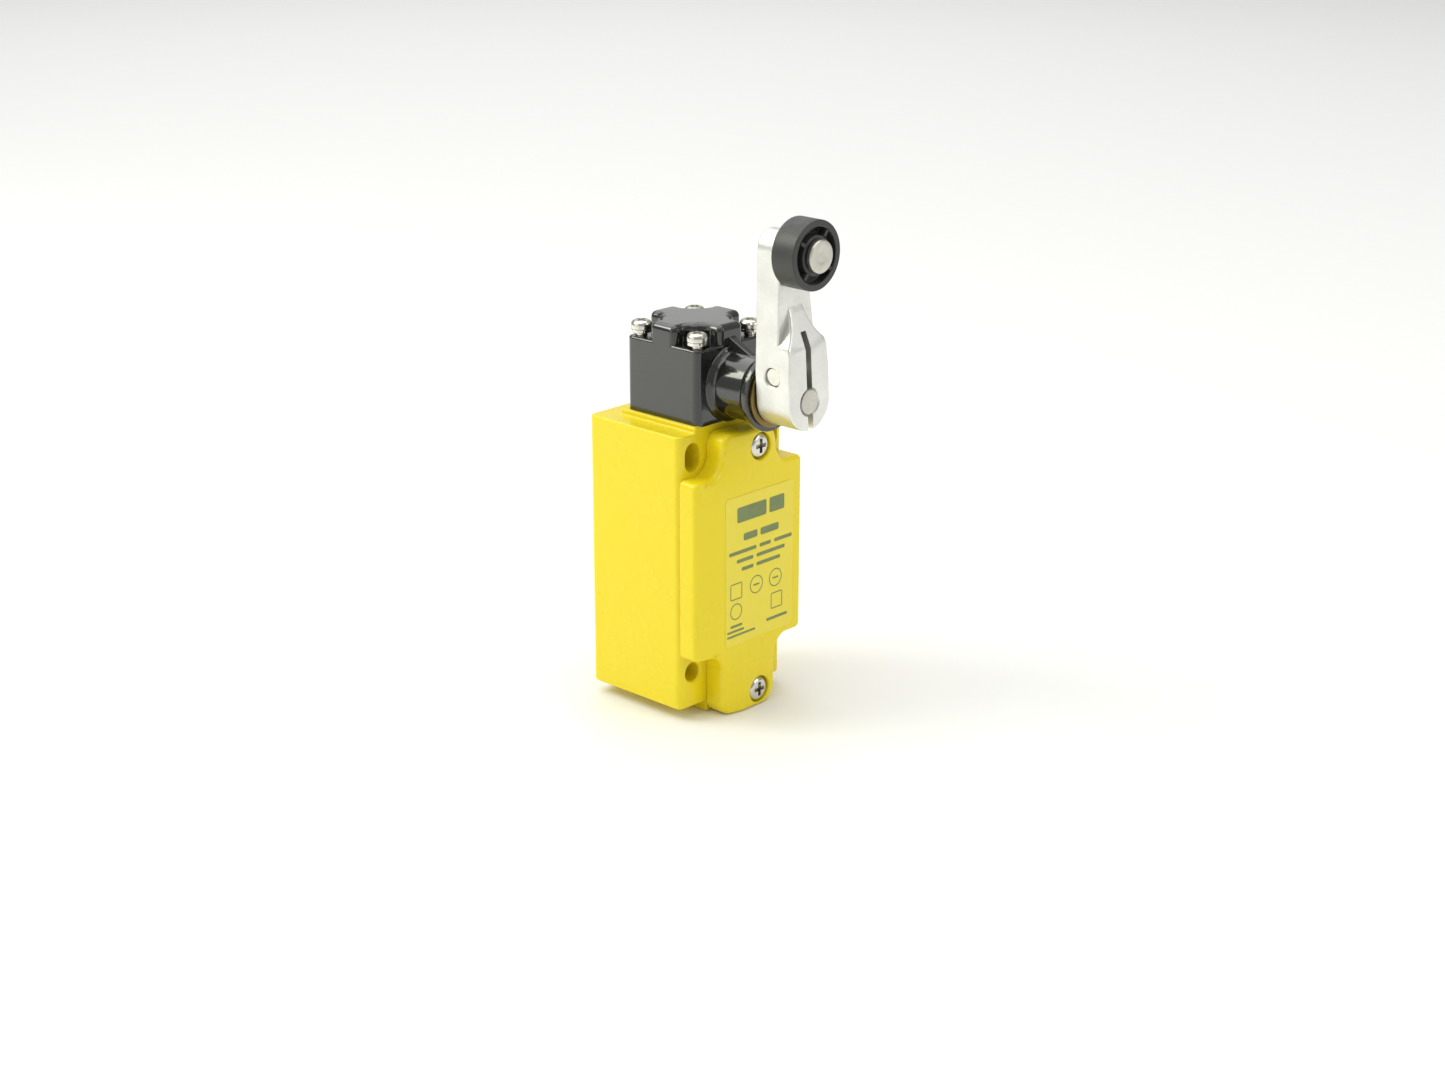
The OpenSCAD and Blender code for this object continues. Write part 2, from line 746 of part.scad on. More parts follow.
module terminal_clamps() {
    clamp_half = 2.9;
    color("lightgray") for (x = [-1, 1], z = [closed_z, open_z]) {
        difference() {
            block_between([x * terminal_x - clamp_half, pocket_back - plate_t - terminal_clamp_t, z - clamp_half],
                          [x * terminal_x + clamp_half, pocket_back - plate_t, z + clamp_half]);
            bar_y(terminal_screw_r + clear_gap, 0, block_front - cut, x * terminal_x, z);
        }
    }
}

module ground_screw() {
    color("silver") translate([ground_x, ground_y - ground_clamp_t, ground_z])
        rotate([90, 0, 0]) pan_screw(5.4, 2.1, 2 * ground_screw_r, ground_clamp_t + 1.8);
}

module ground_clamp() {
    color("lightgray") difference() {
        block_between([ground_x - ground_clamp_half, ground_y - ground_clamp_t, ground_z - ground_clamp_half],
                      [ground_x + ground_clamp_half, ground_y, ground_z + ground_clamp_half]);
        bar_y(ground_screw_r + clear_gap, 0, ground_y - ground_clamp_t - cut, ground_x, ground_z);
    }
}

module contact_carrier() {
    window_y = bridge_y + 0.1;
    color("whitesmoke") difference() {
        union() {
            block_between([-carrier_x, head_y - carrier_y, carrier_bottom],
                          [carrier_x, head_y + carrier_y, carrier_top]);
            translate([0, head_y, 0]) cylinder(r = upper_stem_r, h = rod_bottom - loose_gap);
            translate([0, head_y, lower_stem_end]) cylinder(r = lower_stem_r, h = -lower_stem_end);
        }
        block_between([-carrier_x - cut, head_y - window_y, closed_plate_top - bridge_t - bridge_spring_len],
                      [carrier_x + cut, head_y + window_y, closed_plate_top]);
        block_between([-carrier_x - cut, head_y - window_y, open_plate_bottom],
                      [carrier_x + cut, head_y + window_y, open_plate_bottom + bridge_t + bridge_spring_len]);
    }
}

// Moving bridge with its two contact tips, the plate's underside at z
module bridge(z, tip_side) {
    block_between([-bridge_x, head_y - bridge_y, z], [bridge_x, head_y + bridge_y, z + bridge_t]);
    for (x = [-1, 1]) {
        translate([x * tip_x, head_y, z + bridge_t / 2 + tip_side * (bridge_t + tip_t) / 2])
            cylinder(r = tip_r, h = tip_t, center = true);
    }
}

module closed_bridge() {
    color("goldenrod") bridge(closed_plate_top - bridge_t, 1);
}

module open_bridge() {
    color("goldenrod") bridge(open_plate_bottom, -1);
}

module bridge_springs() {
    color("silver") for (z = [closed_plate_top - bridge_t - bridge_spring_len, open_plate_bottom + bridge_t]) {
        translate([0, head_y, z]) helical_spring(1.3, 0.2, bridge_spring_len, 4);
    }
}

// Plunger column

module plunger() {
    color("whitesmoke") translate([0, head_y, 0]) {
        translate([0, 0, rod_bottom]) cylinder(r = rod_r, h = cap_z - cap_t - rod_bottom);
        translate([0, 0, cap_z - cap_t]) cylinder(r = cap_r, h = cap_t);
    }
}

module return_spring() {
    color("silver") translate([0, head_y, spring_floor])
        helical_spring(spring_r, spring_wire_r, cap_z - cap_t - spring_floor, spring_turns);
}

// Shaft train

module shaft() {
    color("silver") difference() {
        union() {
            bar_y(shaft_r, hollow_back - loose_gap, block_y, 0, shaft_z);
            bar_y(pivot_r, hollow_back + pivot_len, hollow_back - cut, 0, shaft_z);
        }
        difference() {
            bar_y(shaft_r + cut, circlip_y + circlip_t, circlip_y, 0, shaft_z);
            bar_y(shaft_r - circlip_groove, circlip_y + circlip_t + cut, circlip_y - cut, 0, shaft_z);
        }
        translate([0, head_y, shaft_z]) rotate([0, 90, 0]) cylinder(r = cam_pin_r, h = 4 * cam_r, center = true);
    }
}

module cam() {
    color("darkgray") difference() {
        bar_y(cam_r, head_y + cam_t / 2, head_y - cam_t / 2, 0, shaft_z);
        bar_y(shaft_r, head_y + cam_t, head_y - cam_t, 0, shaft_z);
        block_between([-cam_r, head_y - cam_t, shaft_z - cam_r - cut], [cam_r, head_y + cam_t, shaft_z - cam_flat]);
        translate([0, head_y, shaft_z]) rotate([0, 90, 0]) cylinder(r = cam_pin_r, h = 4 * cam_r, center = true);
    }
}

module cam_pin() {
    color("dimgray") translate([0, head_y, shaft_z]) rotate([0, 90, 0])
        cylinder(r = cam_pin_r, h = 2 * cam_r - 0.4, center = true);
}

module shaft_circlip() {
    color("dimgray") difference() {
        bar_y(shaft_r + circlip_w, circlip_y + circlip_t, circlip_y, 0, shaft_z);
        bar_y(shaft_r - circlip_groove, circlip_y + circlip_t + cut, circlip_y - cut, 0, shaft_z);
        block_between([-1.2, circlip_y - cut, shaft_z], [1.2, circlip_y + circlip_t + cut, shaft_z + 2 * shaft_r]);
    }
}

// Lever frame: the shaft axis is at the origin of X and Z, the arm runs to +Z before its lean
module on_lever() {
    translate([0, 0, shaft_z]) rotate([0, -lever_tilt, 0]) children();
}

// Front outline of the arm: a round foot about the shaft, a taper and a round end
module arm_outline() {
    half = block_w / 2;
    end_half = arm_end_w / 2;
    circle(r = half);
    translate([0, lever_len]) circle(r = end_half);
    polygon([
        [-half, 0], [half, 0], [half, foot_straight], [end_half, lever_len],
        [-end_half, lever_len], [-half, foot_straight],
    ]);
}

// Front outline of the clamping block: straight sides, then a scoop on each side down to a rib
module block_outline() {
    half = block_w / 2;
    rib_x = rib_half + scoop_r;
    circle(r = half);
    difference() {
        rect_between([-half, 0], [half, slope_end + cut]);
        for (x = [-1, 1]) {
            translate([x * rib_x, slope_end]) circle(r = scoop_r);
        }
    }
}

module lever() {
    half = block_w / 2;
    color([0.78, 0.78, 0.76]) on_lever() difference() {
        union() {
            plate_y(lever_y, arm_y) arm_outline();
            intersection() {
                plate_y(arm_y + cut, block_y) block_outline();
                rotate([90, 0, 90]) linear_extrude(4 * half, center = true) polygon([
                    [arm_y + 2 * cut, -2 * half],
                    [block_y, -2 * half],
                    [block_y, block_shoulder],
                    [arm_y, slope_end],
                    [arm_y + 2 * cut, slope_end],
                ]);
            }
        }
        bar_y(shaft_r, lever_y + cut, block_y - cut);
        block_between([-clamp_slot_w / 2, block_y - cut, -2 * half],
                      [clamp_slot_w / 2, lever_y + cut, clamp_slot_end]);
        bar_y(roller_pin_d / 2, lever_y + cut, block_y, 0, lever_len);
        cone_y(roller_pin_d / 2 + rivet_flare, roller_pin_d / 2, lever_y, lever_y - rivet_flare, lever_len);
        translate([0, clamp_screw_y, clamp_screw_rise]) rotate([0, 90, 0]) {
            translate([0, 0, -2 * half]) cylinder(r = clamp_screw_d / 2 + thread_gap, h = 2 * half);
            translate([0, 0, -cut]) cylinder(r = clamp_screw_d / 2 + clear_gap, h = 2 * half);
            translate([0, 0, half - clamp_head_len]) cylinder(r = clamp_head_r + clear_gap, h = 2 * half);
        }
    }
}

module clamp_screw() {
    half = block_w / 2;
    end_gap = 0.7;
    socket = 4;
    color("silver") on_lever() translate([0, clamp_screw_y, clamp_screw_rise]) rotate([0, 90, 0])
        difference() {
            union() {
                translate([0, 0, end_gap - half])
                    cylinder(d = clamp_screw_d, h = 2 * half - end_gap - clamp_head_len);
                translate([0, 0, half - clamp_head_len]) cylinder(r = clamp_head_r, h = clamp_head_len - 0.4);
            }
            translate([0, 0, half - 2.9]) cylinder(d = socket / cos(30), h = clamp_head_len, $fn = 6);
        }
}

module roller_pin() {
    pin_r = roller_pin_d / 2;
    color("silver") on_lever() {
        bar_y(pin_r, lever_y, pin_head_y, 0, lever_len);
        cone_y(pin_r + rivet_flare, pin_r, lever_y, lever_y - rivet_flare, lever_len);
        bar_y(roller_pin_head_d / 2, pin_head_y, pin_head_y - pin_head_t, 0, lever_len);
    }
}

module roller_washer() {
    color("silver") on_lever() difference() {
        bar_y(roller_hub_r - 0.4, arm_y, arm_y - washer_t, 0, lever_len);
        bar_y(roller_pin_d / 2 + clear_gap, arm_y + cut, arm_y - cut, 0, lever_len);
    }
}

module roller() {
    recess = 2.6;
    hub_inset = 0.1;
    color([0.12, 0.12, 0.13]) on_lever() difference() {
        bar_y(roller_r, roller_y, roller_front, 0, lever_len);
        bar_y(roller_pin_d / 2 + run_gap, roller_y + cut, roller_front - cut, 0, lever_len);
        for (side = [[roller_y + cut, roller_y - recess], [roller_front + recess, roller_front - cut]]) {
            difference() {
                bar_y(roller_r - rim_t, side[0], side[1], 0, lever_len);
                bar_y(roller_hub_r, side[0], side[1], 0, lever_len);
                translate([0, 0, lever_len]) for (turn = [0 : 90 : 270]) {
                    rotate([0, turn + spoke_turn, 0])
                        block_between([-spoke_w / 2, side[1], 0], [spoke_w / 2, side[0], roller_r]);
                }
            }
        }
        bar_y(roller_hub_r + cut / 2, roller_y + cut, roller_y - hub_inset, 0, lever_len);
    }
}

housing();
cover();
cover_gasket();
cover_screws();
marking_film();
head();
head_gasket();
head_screws();
spring_washers();
shaft_bushing();
shaft_seal();
thrust_ring();
contact_block();
contact_block_cover();
contact_block_screws();
closed_fixed_contacts();
open_fixed_contacts();
terminal_screws();
terminal_clamps();
ground_screw();
ground_clamp();
return_spring();
shaft();
cam();
cam_pin();
shaft_circlip();
lever();
clamp_screw();
roller_pin();
roller_washer();
roller();
plunger();
contact_carrier();
closed_bridge();
open_bridge();
bridge_springs();
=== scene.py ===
"""Looks of a roller lever limit switch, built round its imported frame.

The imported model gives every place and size. The outer castings, the lever, the roller and the
fasteners are modelled here with rounded edges, recesses, threads and knurls, and the inner parts
keep their frame meshes under detailed finishes.
"""

from __future__ import annotations

import json
import logging
import math
from dataclasses import dataclass, field
from enum import Enum
from typing import Any, Callable, Sequence

import bmesh
import bpy
from mathutils import Matrix, Vector


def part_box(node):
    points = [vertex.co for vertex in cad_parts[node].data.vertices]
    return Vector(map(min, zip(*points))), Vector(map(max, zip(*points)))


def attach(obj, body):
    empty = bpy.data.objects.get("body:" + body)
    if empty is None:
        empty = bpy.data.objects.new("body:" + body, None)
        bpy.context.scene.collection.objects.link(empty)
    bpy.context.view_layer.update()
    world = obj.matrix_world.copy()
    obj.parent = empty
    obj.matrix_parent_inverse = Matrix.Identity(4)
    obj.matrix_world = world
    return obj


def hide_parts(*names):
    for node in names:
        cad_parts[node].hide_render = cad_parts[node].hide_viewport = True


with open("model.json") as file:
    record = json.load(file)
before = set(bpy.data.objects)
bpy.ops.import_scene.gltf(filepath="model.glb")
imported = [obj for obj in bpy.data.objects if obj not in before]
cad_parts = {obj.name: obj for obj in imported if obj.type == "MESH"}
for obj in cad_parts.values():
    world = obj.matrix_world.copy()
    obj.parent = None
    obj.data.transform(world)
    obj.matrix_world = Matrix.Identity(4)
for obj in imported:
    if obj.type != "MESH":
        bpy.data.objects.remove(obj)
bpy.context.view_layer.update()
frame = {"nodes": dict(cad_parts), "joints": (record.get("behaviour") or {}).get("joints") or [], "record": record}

LOG = logging.getLogger("limit_switch")
MM = 0.001
CUT = 1.0 * MM

# How far from a plane a vertex may lie and still count as on it, coarse and fine
NEAR = 1e-5
ON_PLANE = 1e-6

# Vertices closer than this are merged, when faces are tidied and when they are left alone
TIDY_REACH = 2e-6
MERGE_REACH = 2e-7

# Half-size of a tool that runs right past the part
FAR = 0.03

HEAD_SCREW_R = 2.8 * MM
COVER_SCREW_R = 3.5 * MM


class Joining(Enum):
    """How a tool shape is joined to the piece that it works on."""

    ADD = "UNION"
    CUT = "DIFFERENCE"


class Body(Enum):
    """Bodies of the frame that pieces ride on."""

    CASE = "case"
    LEVER = "roller_lever"
    ROLLER = "track_roller"


class Axis(Enum):
    """Axes of the frame, by their index."""

    X = 0
    Y = 1
    Z = 2


def head_screw_spots() -> list[tuple[float, float]]:
    """Gives the places of the four head screws, seen from above."""
    low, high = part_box("head_screws")
    return [
        (x, y)
        for x in (low.x + HEAD_SCREW_R, high.x - HEAD_SCREW_R)
        for y in (low.y + HEAD_SCREW_R, high.y - HEAD_SCREW_R)
    ]


# Bench tools: each works on one mesh object in the way of a hand at the bench


def select_only(piece: bpy.types.Object) -> None:
    """Makes one object the selected and active one.

    Args:
        piece: The object to select.
    """
    bpy.ops.object.select_all(action="DESELECT")
    piece.select_set(True)
    bpy.context.view_layer.objects.active = piece


def settle(piece: bpy.types.Object) -> None:
    """Applies an object's place, turn and size to its mesh.

    Args:
        piece: The object whose transform is applied.
    """
    select_only(piece)
    bpy.ops.object.transform_apply(location=True, rotation=True, scale=True)


def add_block(name: str, low: Sequence[float], high: Sequence[float]) -> bpy.types.Object:
    """Adds a box between two corners.

    Args:
        name: Name of the new object.
        low: Lowest corner, in metres.
        high: Highest corner, in metres.

    Returns:
        The box, with its place in its mesh.
    """
    low, high = Vector(low), Vector(high)
    bpy.ops.object.select_all(action="DESELECT")
    bpy.ops.mesh.primitive_cube_add(size=1, location=(low + high) / 2, scale=high - low)
    block = bpy.context.object
    block.name = name
    settle(block)
    return block


def turned(
    name: str,
    stations: Sequence[tuple[float, float]],
    origin: Sequence[float],
    direction: Sequence[float],
    sides: int = 96,
    hollow: bool = False,
) -> bpy.types.Object:
    """Draws a turned shape up from a circle, one station at a time.

    Args:
        name: Name of the new object.
        stations: Pairs of distance along the axis and radius, in metres.
        origin: Point on the axis where the distance is nought.
        direction: Direction of the axis.
        sides: Number of facets round the axis.
        hollow: True for a ring whose last station joins its first.

    Returns:
        The turned shape, closed, with its faces pointing outwards.
    """
    bpy.ops.object.select_all(action="DESELECT")
    at, radius = stations[0]
    fill = "NOTHING" if hollow else "NGON"
    bpy.ops.mesh.primitive_circle_add(vertices=sides, radius=radius, fill_type=fill)
    shape = bpy.context.object
    shape.name = name
    bpy.ops.object.mode_set(mode="EDIT")
    bpy.ops.mesh.select_mode(type="VERT")
    bpy.ops.mesh.select_all(action="SELECT")
    bpy.ops.transform.translate(value=(0, 0, at))
    for next_at, next_radius in [*stations[1:], *(stations[:1] if hollow else ())]:
        rise, growth = next_at - at, next_radius / radius
        bpy.ops.mesh.extrude_region_move(TRANSFORM_OT_translate={"value": (0, 0, rise)})
        bpy.ops.transform.resize(value=(growth, growth, 1), center_override=(0, 0, next_at))
        at, radius = next_at, next_radius
    bpy.ops.mesh.select_all(action="SELECT")
    if hollow:
        bpy.ops.mesh.remove_doubles(threshold=2e-6)
    bpy.ops.mesh.normals_make_consistent(inside=False)
    bpy.ops.object.mode_set(mode="OBJECT")
    turn = Vector(direction).to_track_quat("Z", "Y").to_matrix().to_4x4()
    shape.matrix_world = Matrix.Translation(Vector(origin)) @ turn
    settle(shape)
    return shape


def add_bar(
    name: str, radius: float, start: Sequence[float], end: Sequence[float], sides: int = 96
) -> bpy.types.Object:
    """Adds a round bar between two points.

    Args:
        name: Name of the new object.
        radius: Radius of the bar, in metres.
        start: Middle of its first end.
        end: Middle of its other end.
        sides: Number of facets round the bar.

    Returns:
        The bar.
    """
    start, end = Vector(start), Vector(end)
    return turned(name, [(0, radius), ((end - start).length, radius)], start, end - start, sides)


def bevel_edges(
    piece: bpy.types.Object,
    pick: Callable[[bmesh.types.BMEdge], bool],
    width: float,
    segments: int = 6,
) -> bpy.types.Object:
    """Rounds the edges that a test picks.

    Args:
        piece: The object to work on.
        pick: Test that says which edges are rounded.
        width: Radius of the rounding, in metres.
        segments: Number of facets across the rounding.

    Returns:
        The same object.
    """
    select_only(piece)
    bpy.ops.object.mode_set(mode="EDIT")
    bpy.ops.mesh.select_mode(type="EDGE")
    bpy.ops.mesh.select_all(action="DESELECT")
    mesh = bmesh.from_edit_mesh(piece.data)
    for edge in mesh.edges:
        edge.select_set(pick(edge))
    bmesh.update_edit_mesh(piece.data)
    bpy.ops.mesh.bevel(offset=width, segments=segments, affect="EDGES")
    bpy.ops.object.mode_set(mode="OBJECT")
    return piece


def pull(
    piece: bpy.types.Object, pick: Callable[[Vector], bool], shift: Sequence[float]
) -> bpy.types.Object:
    """Moves the corners of a shape that a test picks.

    Args:
        piece: The object to work on.
        pick: Test on a vertex's place that says which corners are moved.
        shift: How far they are moved, in metres.

    Returns:
        The same object.
    """
    select_only(piece)
    bpy.ops.object.mode_set(mode="EDIT")
    bpy.ops.mesh.select_mode(type="VERT")
    bpy.ops.mesh.select_all(action="DESELECT")
    mesh = bmesh.from_edit_mesh(piece.data)
    for vertex in mesh.verts:
        vertex.select_set(pick(vertex.co))
    mesh.select_flush(True)
    bmesh.update_edit_mesh(piece.data)
    bpy.ops.transform.translate(value=shift)
    bpy.ops.object.mode_set(mode="OBJECT")
    return piece


def along(axis: Axis, side: Callable[[Vector], bool] | None = None) -> Callable[[Any], bool]:
    """Makes a test for edges that run along an axis.

    Args:
        axis: The axis that the edges follow.
        side: Further test on the middle of the edge, or None.

    Returns:
        The test, for bevel_edges.
    """

    def pick(edge: bmesh.types.BMEdge) -> bool:
        """Says whether an edge runs along the axis, on the wanted side."""
        first, last = (v.co for v in edge.verts)
        step = last - first
        straight = abs(step[axis.value]) > 0.999 * step.length
        return straight and (side is None or side((first + last) / 2))

    return pick


def combine(
    piece: bpy.types.Object, tools: Sequence[bpy.types.Object], joining: Joining
) -> bpy.types.Object:
    """Adds tool shapes to a piece or cuts them out of it, and removes the tools.

    The piece is cut into triangles first: the solver keeps a large flat face whole, and such a
    face is drawn wrongly once it has holes.

    Args:
        piece: The object to work on.
        tools: The shapes that are added or cut out.
        joining: Whether they are added or cut out.

    Returns:
        The same piece.
    """
    select_only(piece)
    bpy.ops.object.mode_set(mode="EDIT")
    bpy.ops.mesh.select_all(action="SELECT")
    bpy.ops.mesh.quads_convert_to_tris(quad_method="BEAUTY", ngon_method="BEAUTY")
    bpy.ops.object.mode_set(mode="OBJECT")
    for tool in tools:
        step = piece.modifiers.new(joining.name, "BOOLEAN")
        step.operation = joining.value
        step.solver = "MANIFOLD"
        step.object = tool
        select_only(piece)
        bpy.ops.object.modifier_apply(modifier=step.name)
        mesh = tool.data
        bpy.data.objects.remove(tool)
        bpy.data.meshes.remove(mesh)
    return piece


def tidy_faces(piece: bpy.types.Object) -> bpy.types.Object:
    """Merges double vertices and makes each flat stretch one face."""
    select_only(piece)
    bpy.ops.object.mode_set(mode="EDIT")
    bpy.ops.mesh.select_all(action="SELECT")
    bpy.ops.mesh.remove_doubles(threshold=TIDY_REACH)
    bpy.ops.mesh.dissolve_limited(angle_limit=math.radians(0.4))
    bpy.ops.object.mode_set(mode="OBJECT")
    return piece


def merge_close(piece: bpy.types.Object) -> bpy.types.Object:
    """Merges double vertices and leaves the faces as they are."""
    select_only(piece)
    bpy.ops.object.mode_set(mode="EDIT")
    bpy.ops.mesh.select_all(action="SELECT")
    bpy.ops.mesh.remove_doubles(threshold=MERGE_REACH)
    bpy.ops.object.mode_set(mode="OBJECT")
    return piece


def soften(
    piece: bpy.types.Object, width: float, segments: int = 4, angle: float = 28.0
) -> bpy.types.Object:
    """Rounds every edge that is sharper than an angle.

    Args:
        piece: The object to work on.
        width: Width of the rounding, in metres.
        segments: Number of facets across it.
        angle: Smallest angle between two faces that counts as an edge, in degrees.

    Returns:
        The same object.
    """
    rounding = piece.modifiers.new("Rounding", "BEVEL")
    rounding.width = width
    rounding.segments = segments
    rounding.limit_method = "ANGLE"
    rounding.angle_limit = math.radians(angle)
    rounding.use_clamp_overlap = False
    rounding.miter_outer = "MITER_ARC"
    select_only(piece)
    bpy.ops.object.modifier_apply(modifier=rounding.name)
    return piece


def shade(piece: bpy.types.Object, angle: float = 32.0) -> bpy.types.Object:
    """Shades round stretches smoothly and keeps flat faces flat.

    Args:
        piece: The object to work on.
        angle: Faces that meet at less than this are shaded as one, in degrees.

    Returns:
        The same object.
    """
    select_only(piece)
    bpy.ops.object.shade_smooth_by_angle(angle=math.radians(angle))
    weighted = piece.modifiers.new("Flat faces lead", "WEIGHTED_NORMAL")
    weighted.keep_sharp = True
    weighted.weight = 80
    bpy.ops.object.modifier_apply(modifier=weighted.name)
    return piece


def copy_to(piece: bpy.types.Object, name: str, shift: Sequence[float]) -> bpy.types.Object:
    """Copies a finished shape, with its own mesh, to another place.

    Args:
        piece: The shape to copy.
        name: Name of the copy.
        shift: How far the copy is moved, in metres.

    Returns:
        The copy.
    """
    select_only(piece)
    bpy.ops.object.duplicate(linked=False)
    twin = bpy.context.object
    twin.name = name
    twin.location = Vector(shift)
    settle(twin)
    return twin


def join(name: str, parts: Sequence[bpy.types.Object]) -> bpy.types.Object:
    """Joins several shapes into one object.

    Args:
        name: Name of the joined object.
        parts: The shapes; the first one is kept.

    Returns:
        The joined object.
    """
    select_only(parts[0])
    for part in parts[1:]:
        part.select_set(True)
    bpy.ops.object.join()
    parts[0].name = name
    return parts[0]


def cross_tool(
    name: str, size: float, deep: float, top: Sequence[float], direction: Sequence[float]
) -> bpy.types.Object:
    """Makes the tapered cross that cuts a screw's driver recess.

    Args:
        name: Name of the tool.
        size: Length of each bar of the cross at the top.
        deep: Depth of the recess.
        top: Point on the screw's axis at the top of its head.
        direction: Direction that the head points in.

    Returns:
        The tool, for combine.
    """
    bars = []
    for long, wide in ((size, size * 0.27), (size * 0.27, size)):
        bar = add_block(name, (-long / 2, -wide / 2, -deep), (long / 2, wide / 2, CUT))
        select_only(bar)
        bpy.ops.object.mode_set(mode="EDIT")
        bpy.ops.mesh.select_mode(type="FACE")
        bpy.ops.mesh.select_all(action="DESELECT")
        mesh = bmesh.from_edit_mesh(bar.data)
        for face in mesh.faces:
            face.select_set(face.normal.z < -0.9)
        bmesh.update_edit_mesh(bar.data)
        bpy.ops.transform.resize(value=(0.62, 0.62, 1), center_override=(0, 0, -deep))
        bpy.ops.object.mode_set(mode="OBJECT")
        bars.append(bar)
    tool = combine(bars[0], bars[1:], Joining.ADD)
    turn = Vector(direction).to_track_quat("Z", "Y").to_matrix().to_4x4()
    tool.matrix_world = Matrix.Translation(Vector(top)) @ turn
    settle(tool)
    return tool


# Shared shader groups: each gives masks or heights that change over the surface


@dataclass
class Wiring:
    """A node tree with short ways to add and connect nodes."""

    tree: bpy.types.NodeTree

    def add(self, kind: str, **settings: Any) -> bpy.types.Node:
        """Adds a node.

        Args:
            kind: Blender's name for the node type.
            **settings: Properties to set on it.

        Returns:
            The new node.
        """
        node = self.tree.nodes.new(kind)
        for name, value in settings.items():
            setattr(node, name, value)
        return node

    def plug(self, out: Any, into: Any) -> None:
        """Connects an output socket to an input socket."""
        self.tree.links.new(out, into)

    def math(self, operation: str, first: Any, second: Any = 0.0) -> Any:
        """Adds a Math node.

        Args:
            operation: Blender's name for the operation.
            first: Socket or number for the first value.
            second: Socket or number for the second value.

        Returns:
            The node's output socket.
        """
        node = self.add("ShaderNodeMath", operation=operation)
        for socket, value in zip(node.inputs, (first, second)):
            if isinstance(value, bpy.types.NodeSocket):
                self.plug(value, socket)
            else:
                socket.default_value = value
        return node.outputs[0]

    def noise(self, vector: Any, scale: Any, detail: float = 2.0, rough: float = 0.5) -> Any:
        """Adds a Noise Texture node and returns its Fac socket."""
        node = self.add("ShaderNodeTexNoise")
        node.inputs["Detail"].default_value = detail
        node.inputs["Roughness"].default_value = rough
        self.plug(vector, node.inputs["Vector"])
        if isinstance(scale, bpy.types.NodeSocket):
            self.plug(scale, node.inputs["Scale"])
        else:
            node.inputs["Scale"].default_value = scale
        return node.outputs["Fac"]

    def spread(self, value: Any, low: float, high: float) -> Any:
        """Stretches a socket's values so that low gives 0 and high gives 1."""
        node = self.add("ShaderNodeMapRange")
        node.inputs["From Min"].default_value = low
        node.inputs["From Max"].default_value = high
        self.plug(value, node.inputs["Value"])
        return node.outputs["Result"]


def new_group(name: str, inputs: dict[str, float | None], output: str) -> tuple[Any, Any, Any]:
    """Starts a shader group.

    Args:
        name: Name of the group.
        inputs: Default of each input; None makes a vector input.
        output: Name of its one output.

    Returns:
        The wiring of the group, its input node and its output node.
    """
    tree = bpy.data.node_groups.new(name, "ShaderNodeTree")
    for label, default in inputs.items():
        kind = "NodeSocketVector" if default is None else "NodeSocketFloat"
        socket = tree.interface.new_socket(name=label, in_out="INPUT", socket_type=kind)
        if default is not None:
            socket.default_value = default
    tree.interface.new_socket(name=output, in_out="OUTPUT", socket_type="NodeSocketFloat")
    wiring = Wiring(tree)
    return wiring, wiring.add("NodeGroupInput"), wiring.add("NodeGroupOutput")


def make_mottle() -> None:
    """Makes the group for slow changes of colour and gloss over a surface."""
    wiring, start, end = new_group("mottle", {"Vector": None, "Scale": 90.0}, "Mask")
    broad = wiring.noise(start.outputs["Vector"], start.outputs["Scale"], 3.0)
    fine_scale = wiring.math("MULTIPLY", start.outputs["Scale"], 7.0)
    fine = wiring.noise(start.outputs["Vector"], fine_scale, 2.0)
    both = wiring.math("ADD", wiring.math("MULTIPLY", broad, 0.7), wiring.math("MULTIPLY", fine, 0.3))
    wiring.plug(wiring.spread(both, 0.34, 0.66), end.inputs["Mask"])


def make_grain() -> None:
    """Makes the group for the fine relief of paint, cast metal and moulded plastic."""
    wiring, start, end = new_group(
        "grain", {"Vector": None, "Scale": 900.0, "Pitting": 0.2}, "Height"
    )
    waves = wiring.noise(start.outputs["Vector"], start.outputs["Scale"], 1.0)
    pit_scale = wiring.math("MULTIPLY", start.outputs["Scale"], 2.7)
    cells = wiring.add("ShaderNodeTexVoronoi", feature="F1")
    wiring.plug(start.outputs["Vector"], cells.inputs["Vector"])
    wiring.plug(pit_scale, cells.inputs["Scale"])
    pits = wiring.math("MULTIPLY", cells.outputs["Distance"], start.outputs["Pitting"])
    wiring.plug(wiring.math("ADD", waves, pits), end.inputs["Height"])


def make_strokes() -> None:
    """Makes the group for fine tool strokes: noise drawn out along X of the vector."""
    wiring, start, end = new_group(
        "strokes", {"Vector": None, "Scale": 2500.0, "Stretch": 0.02}, "Height"
    )
    parts = wiring.add("ShaderNodeSeparateXYZ")
    wiring.plug(start.outputs["Vector"], parts.inputs[0])
    drawn = wiring.add("ShaderNodeCombineXYZ")
    wiring.plug(wiring.math("MULTIPLY", parts.outputs["X"], start.outputs["Stretch"]), drawn.inputs["X"])
    wiring.plug(parts.outputs["Y"], drawn.inputs["Y"])
    wiring.plug(parts.outputs["Z"], drawn.inputs["Z"])
    lines = wiring.noise(drawn.outputs["Vector"], start.outputs["Scale"], 2.0, 0.6)
    wiring.plug(lines, end.inputs["Height"])


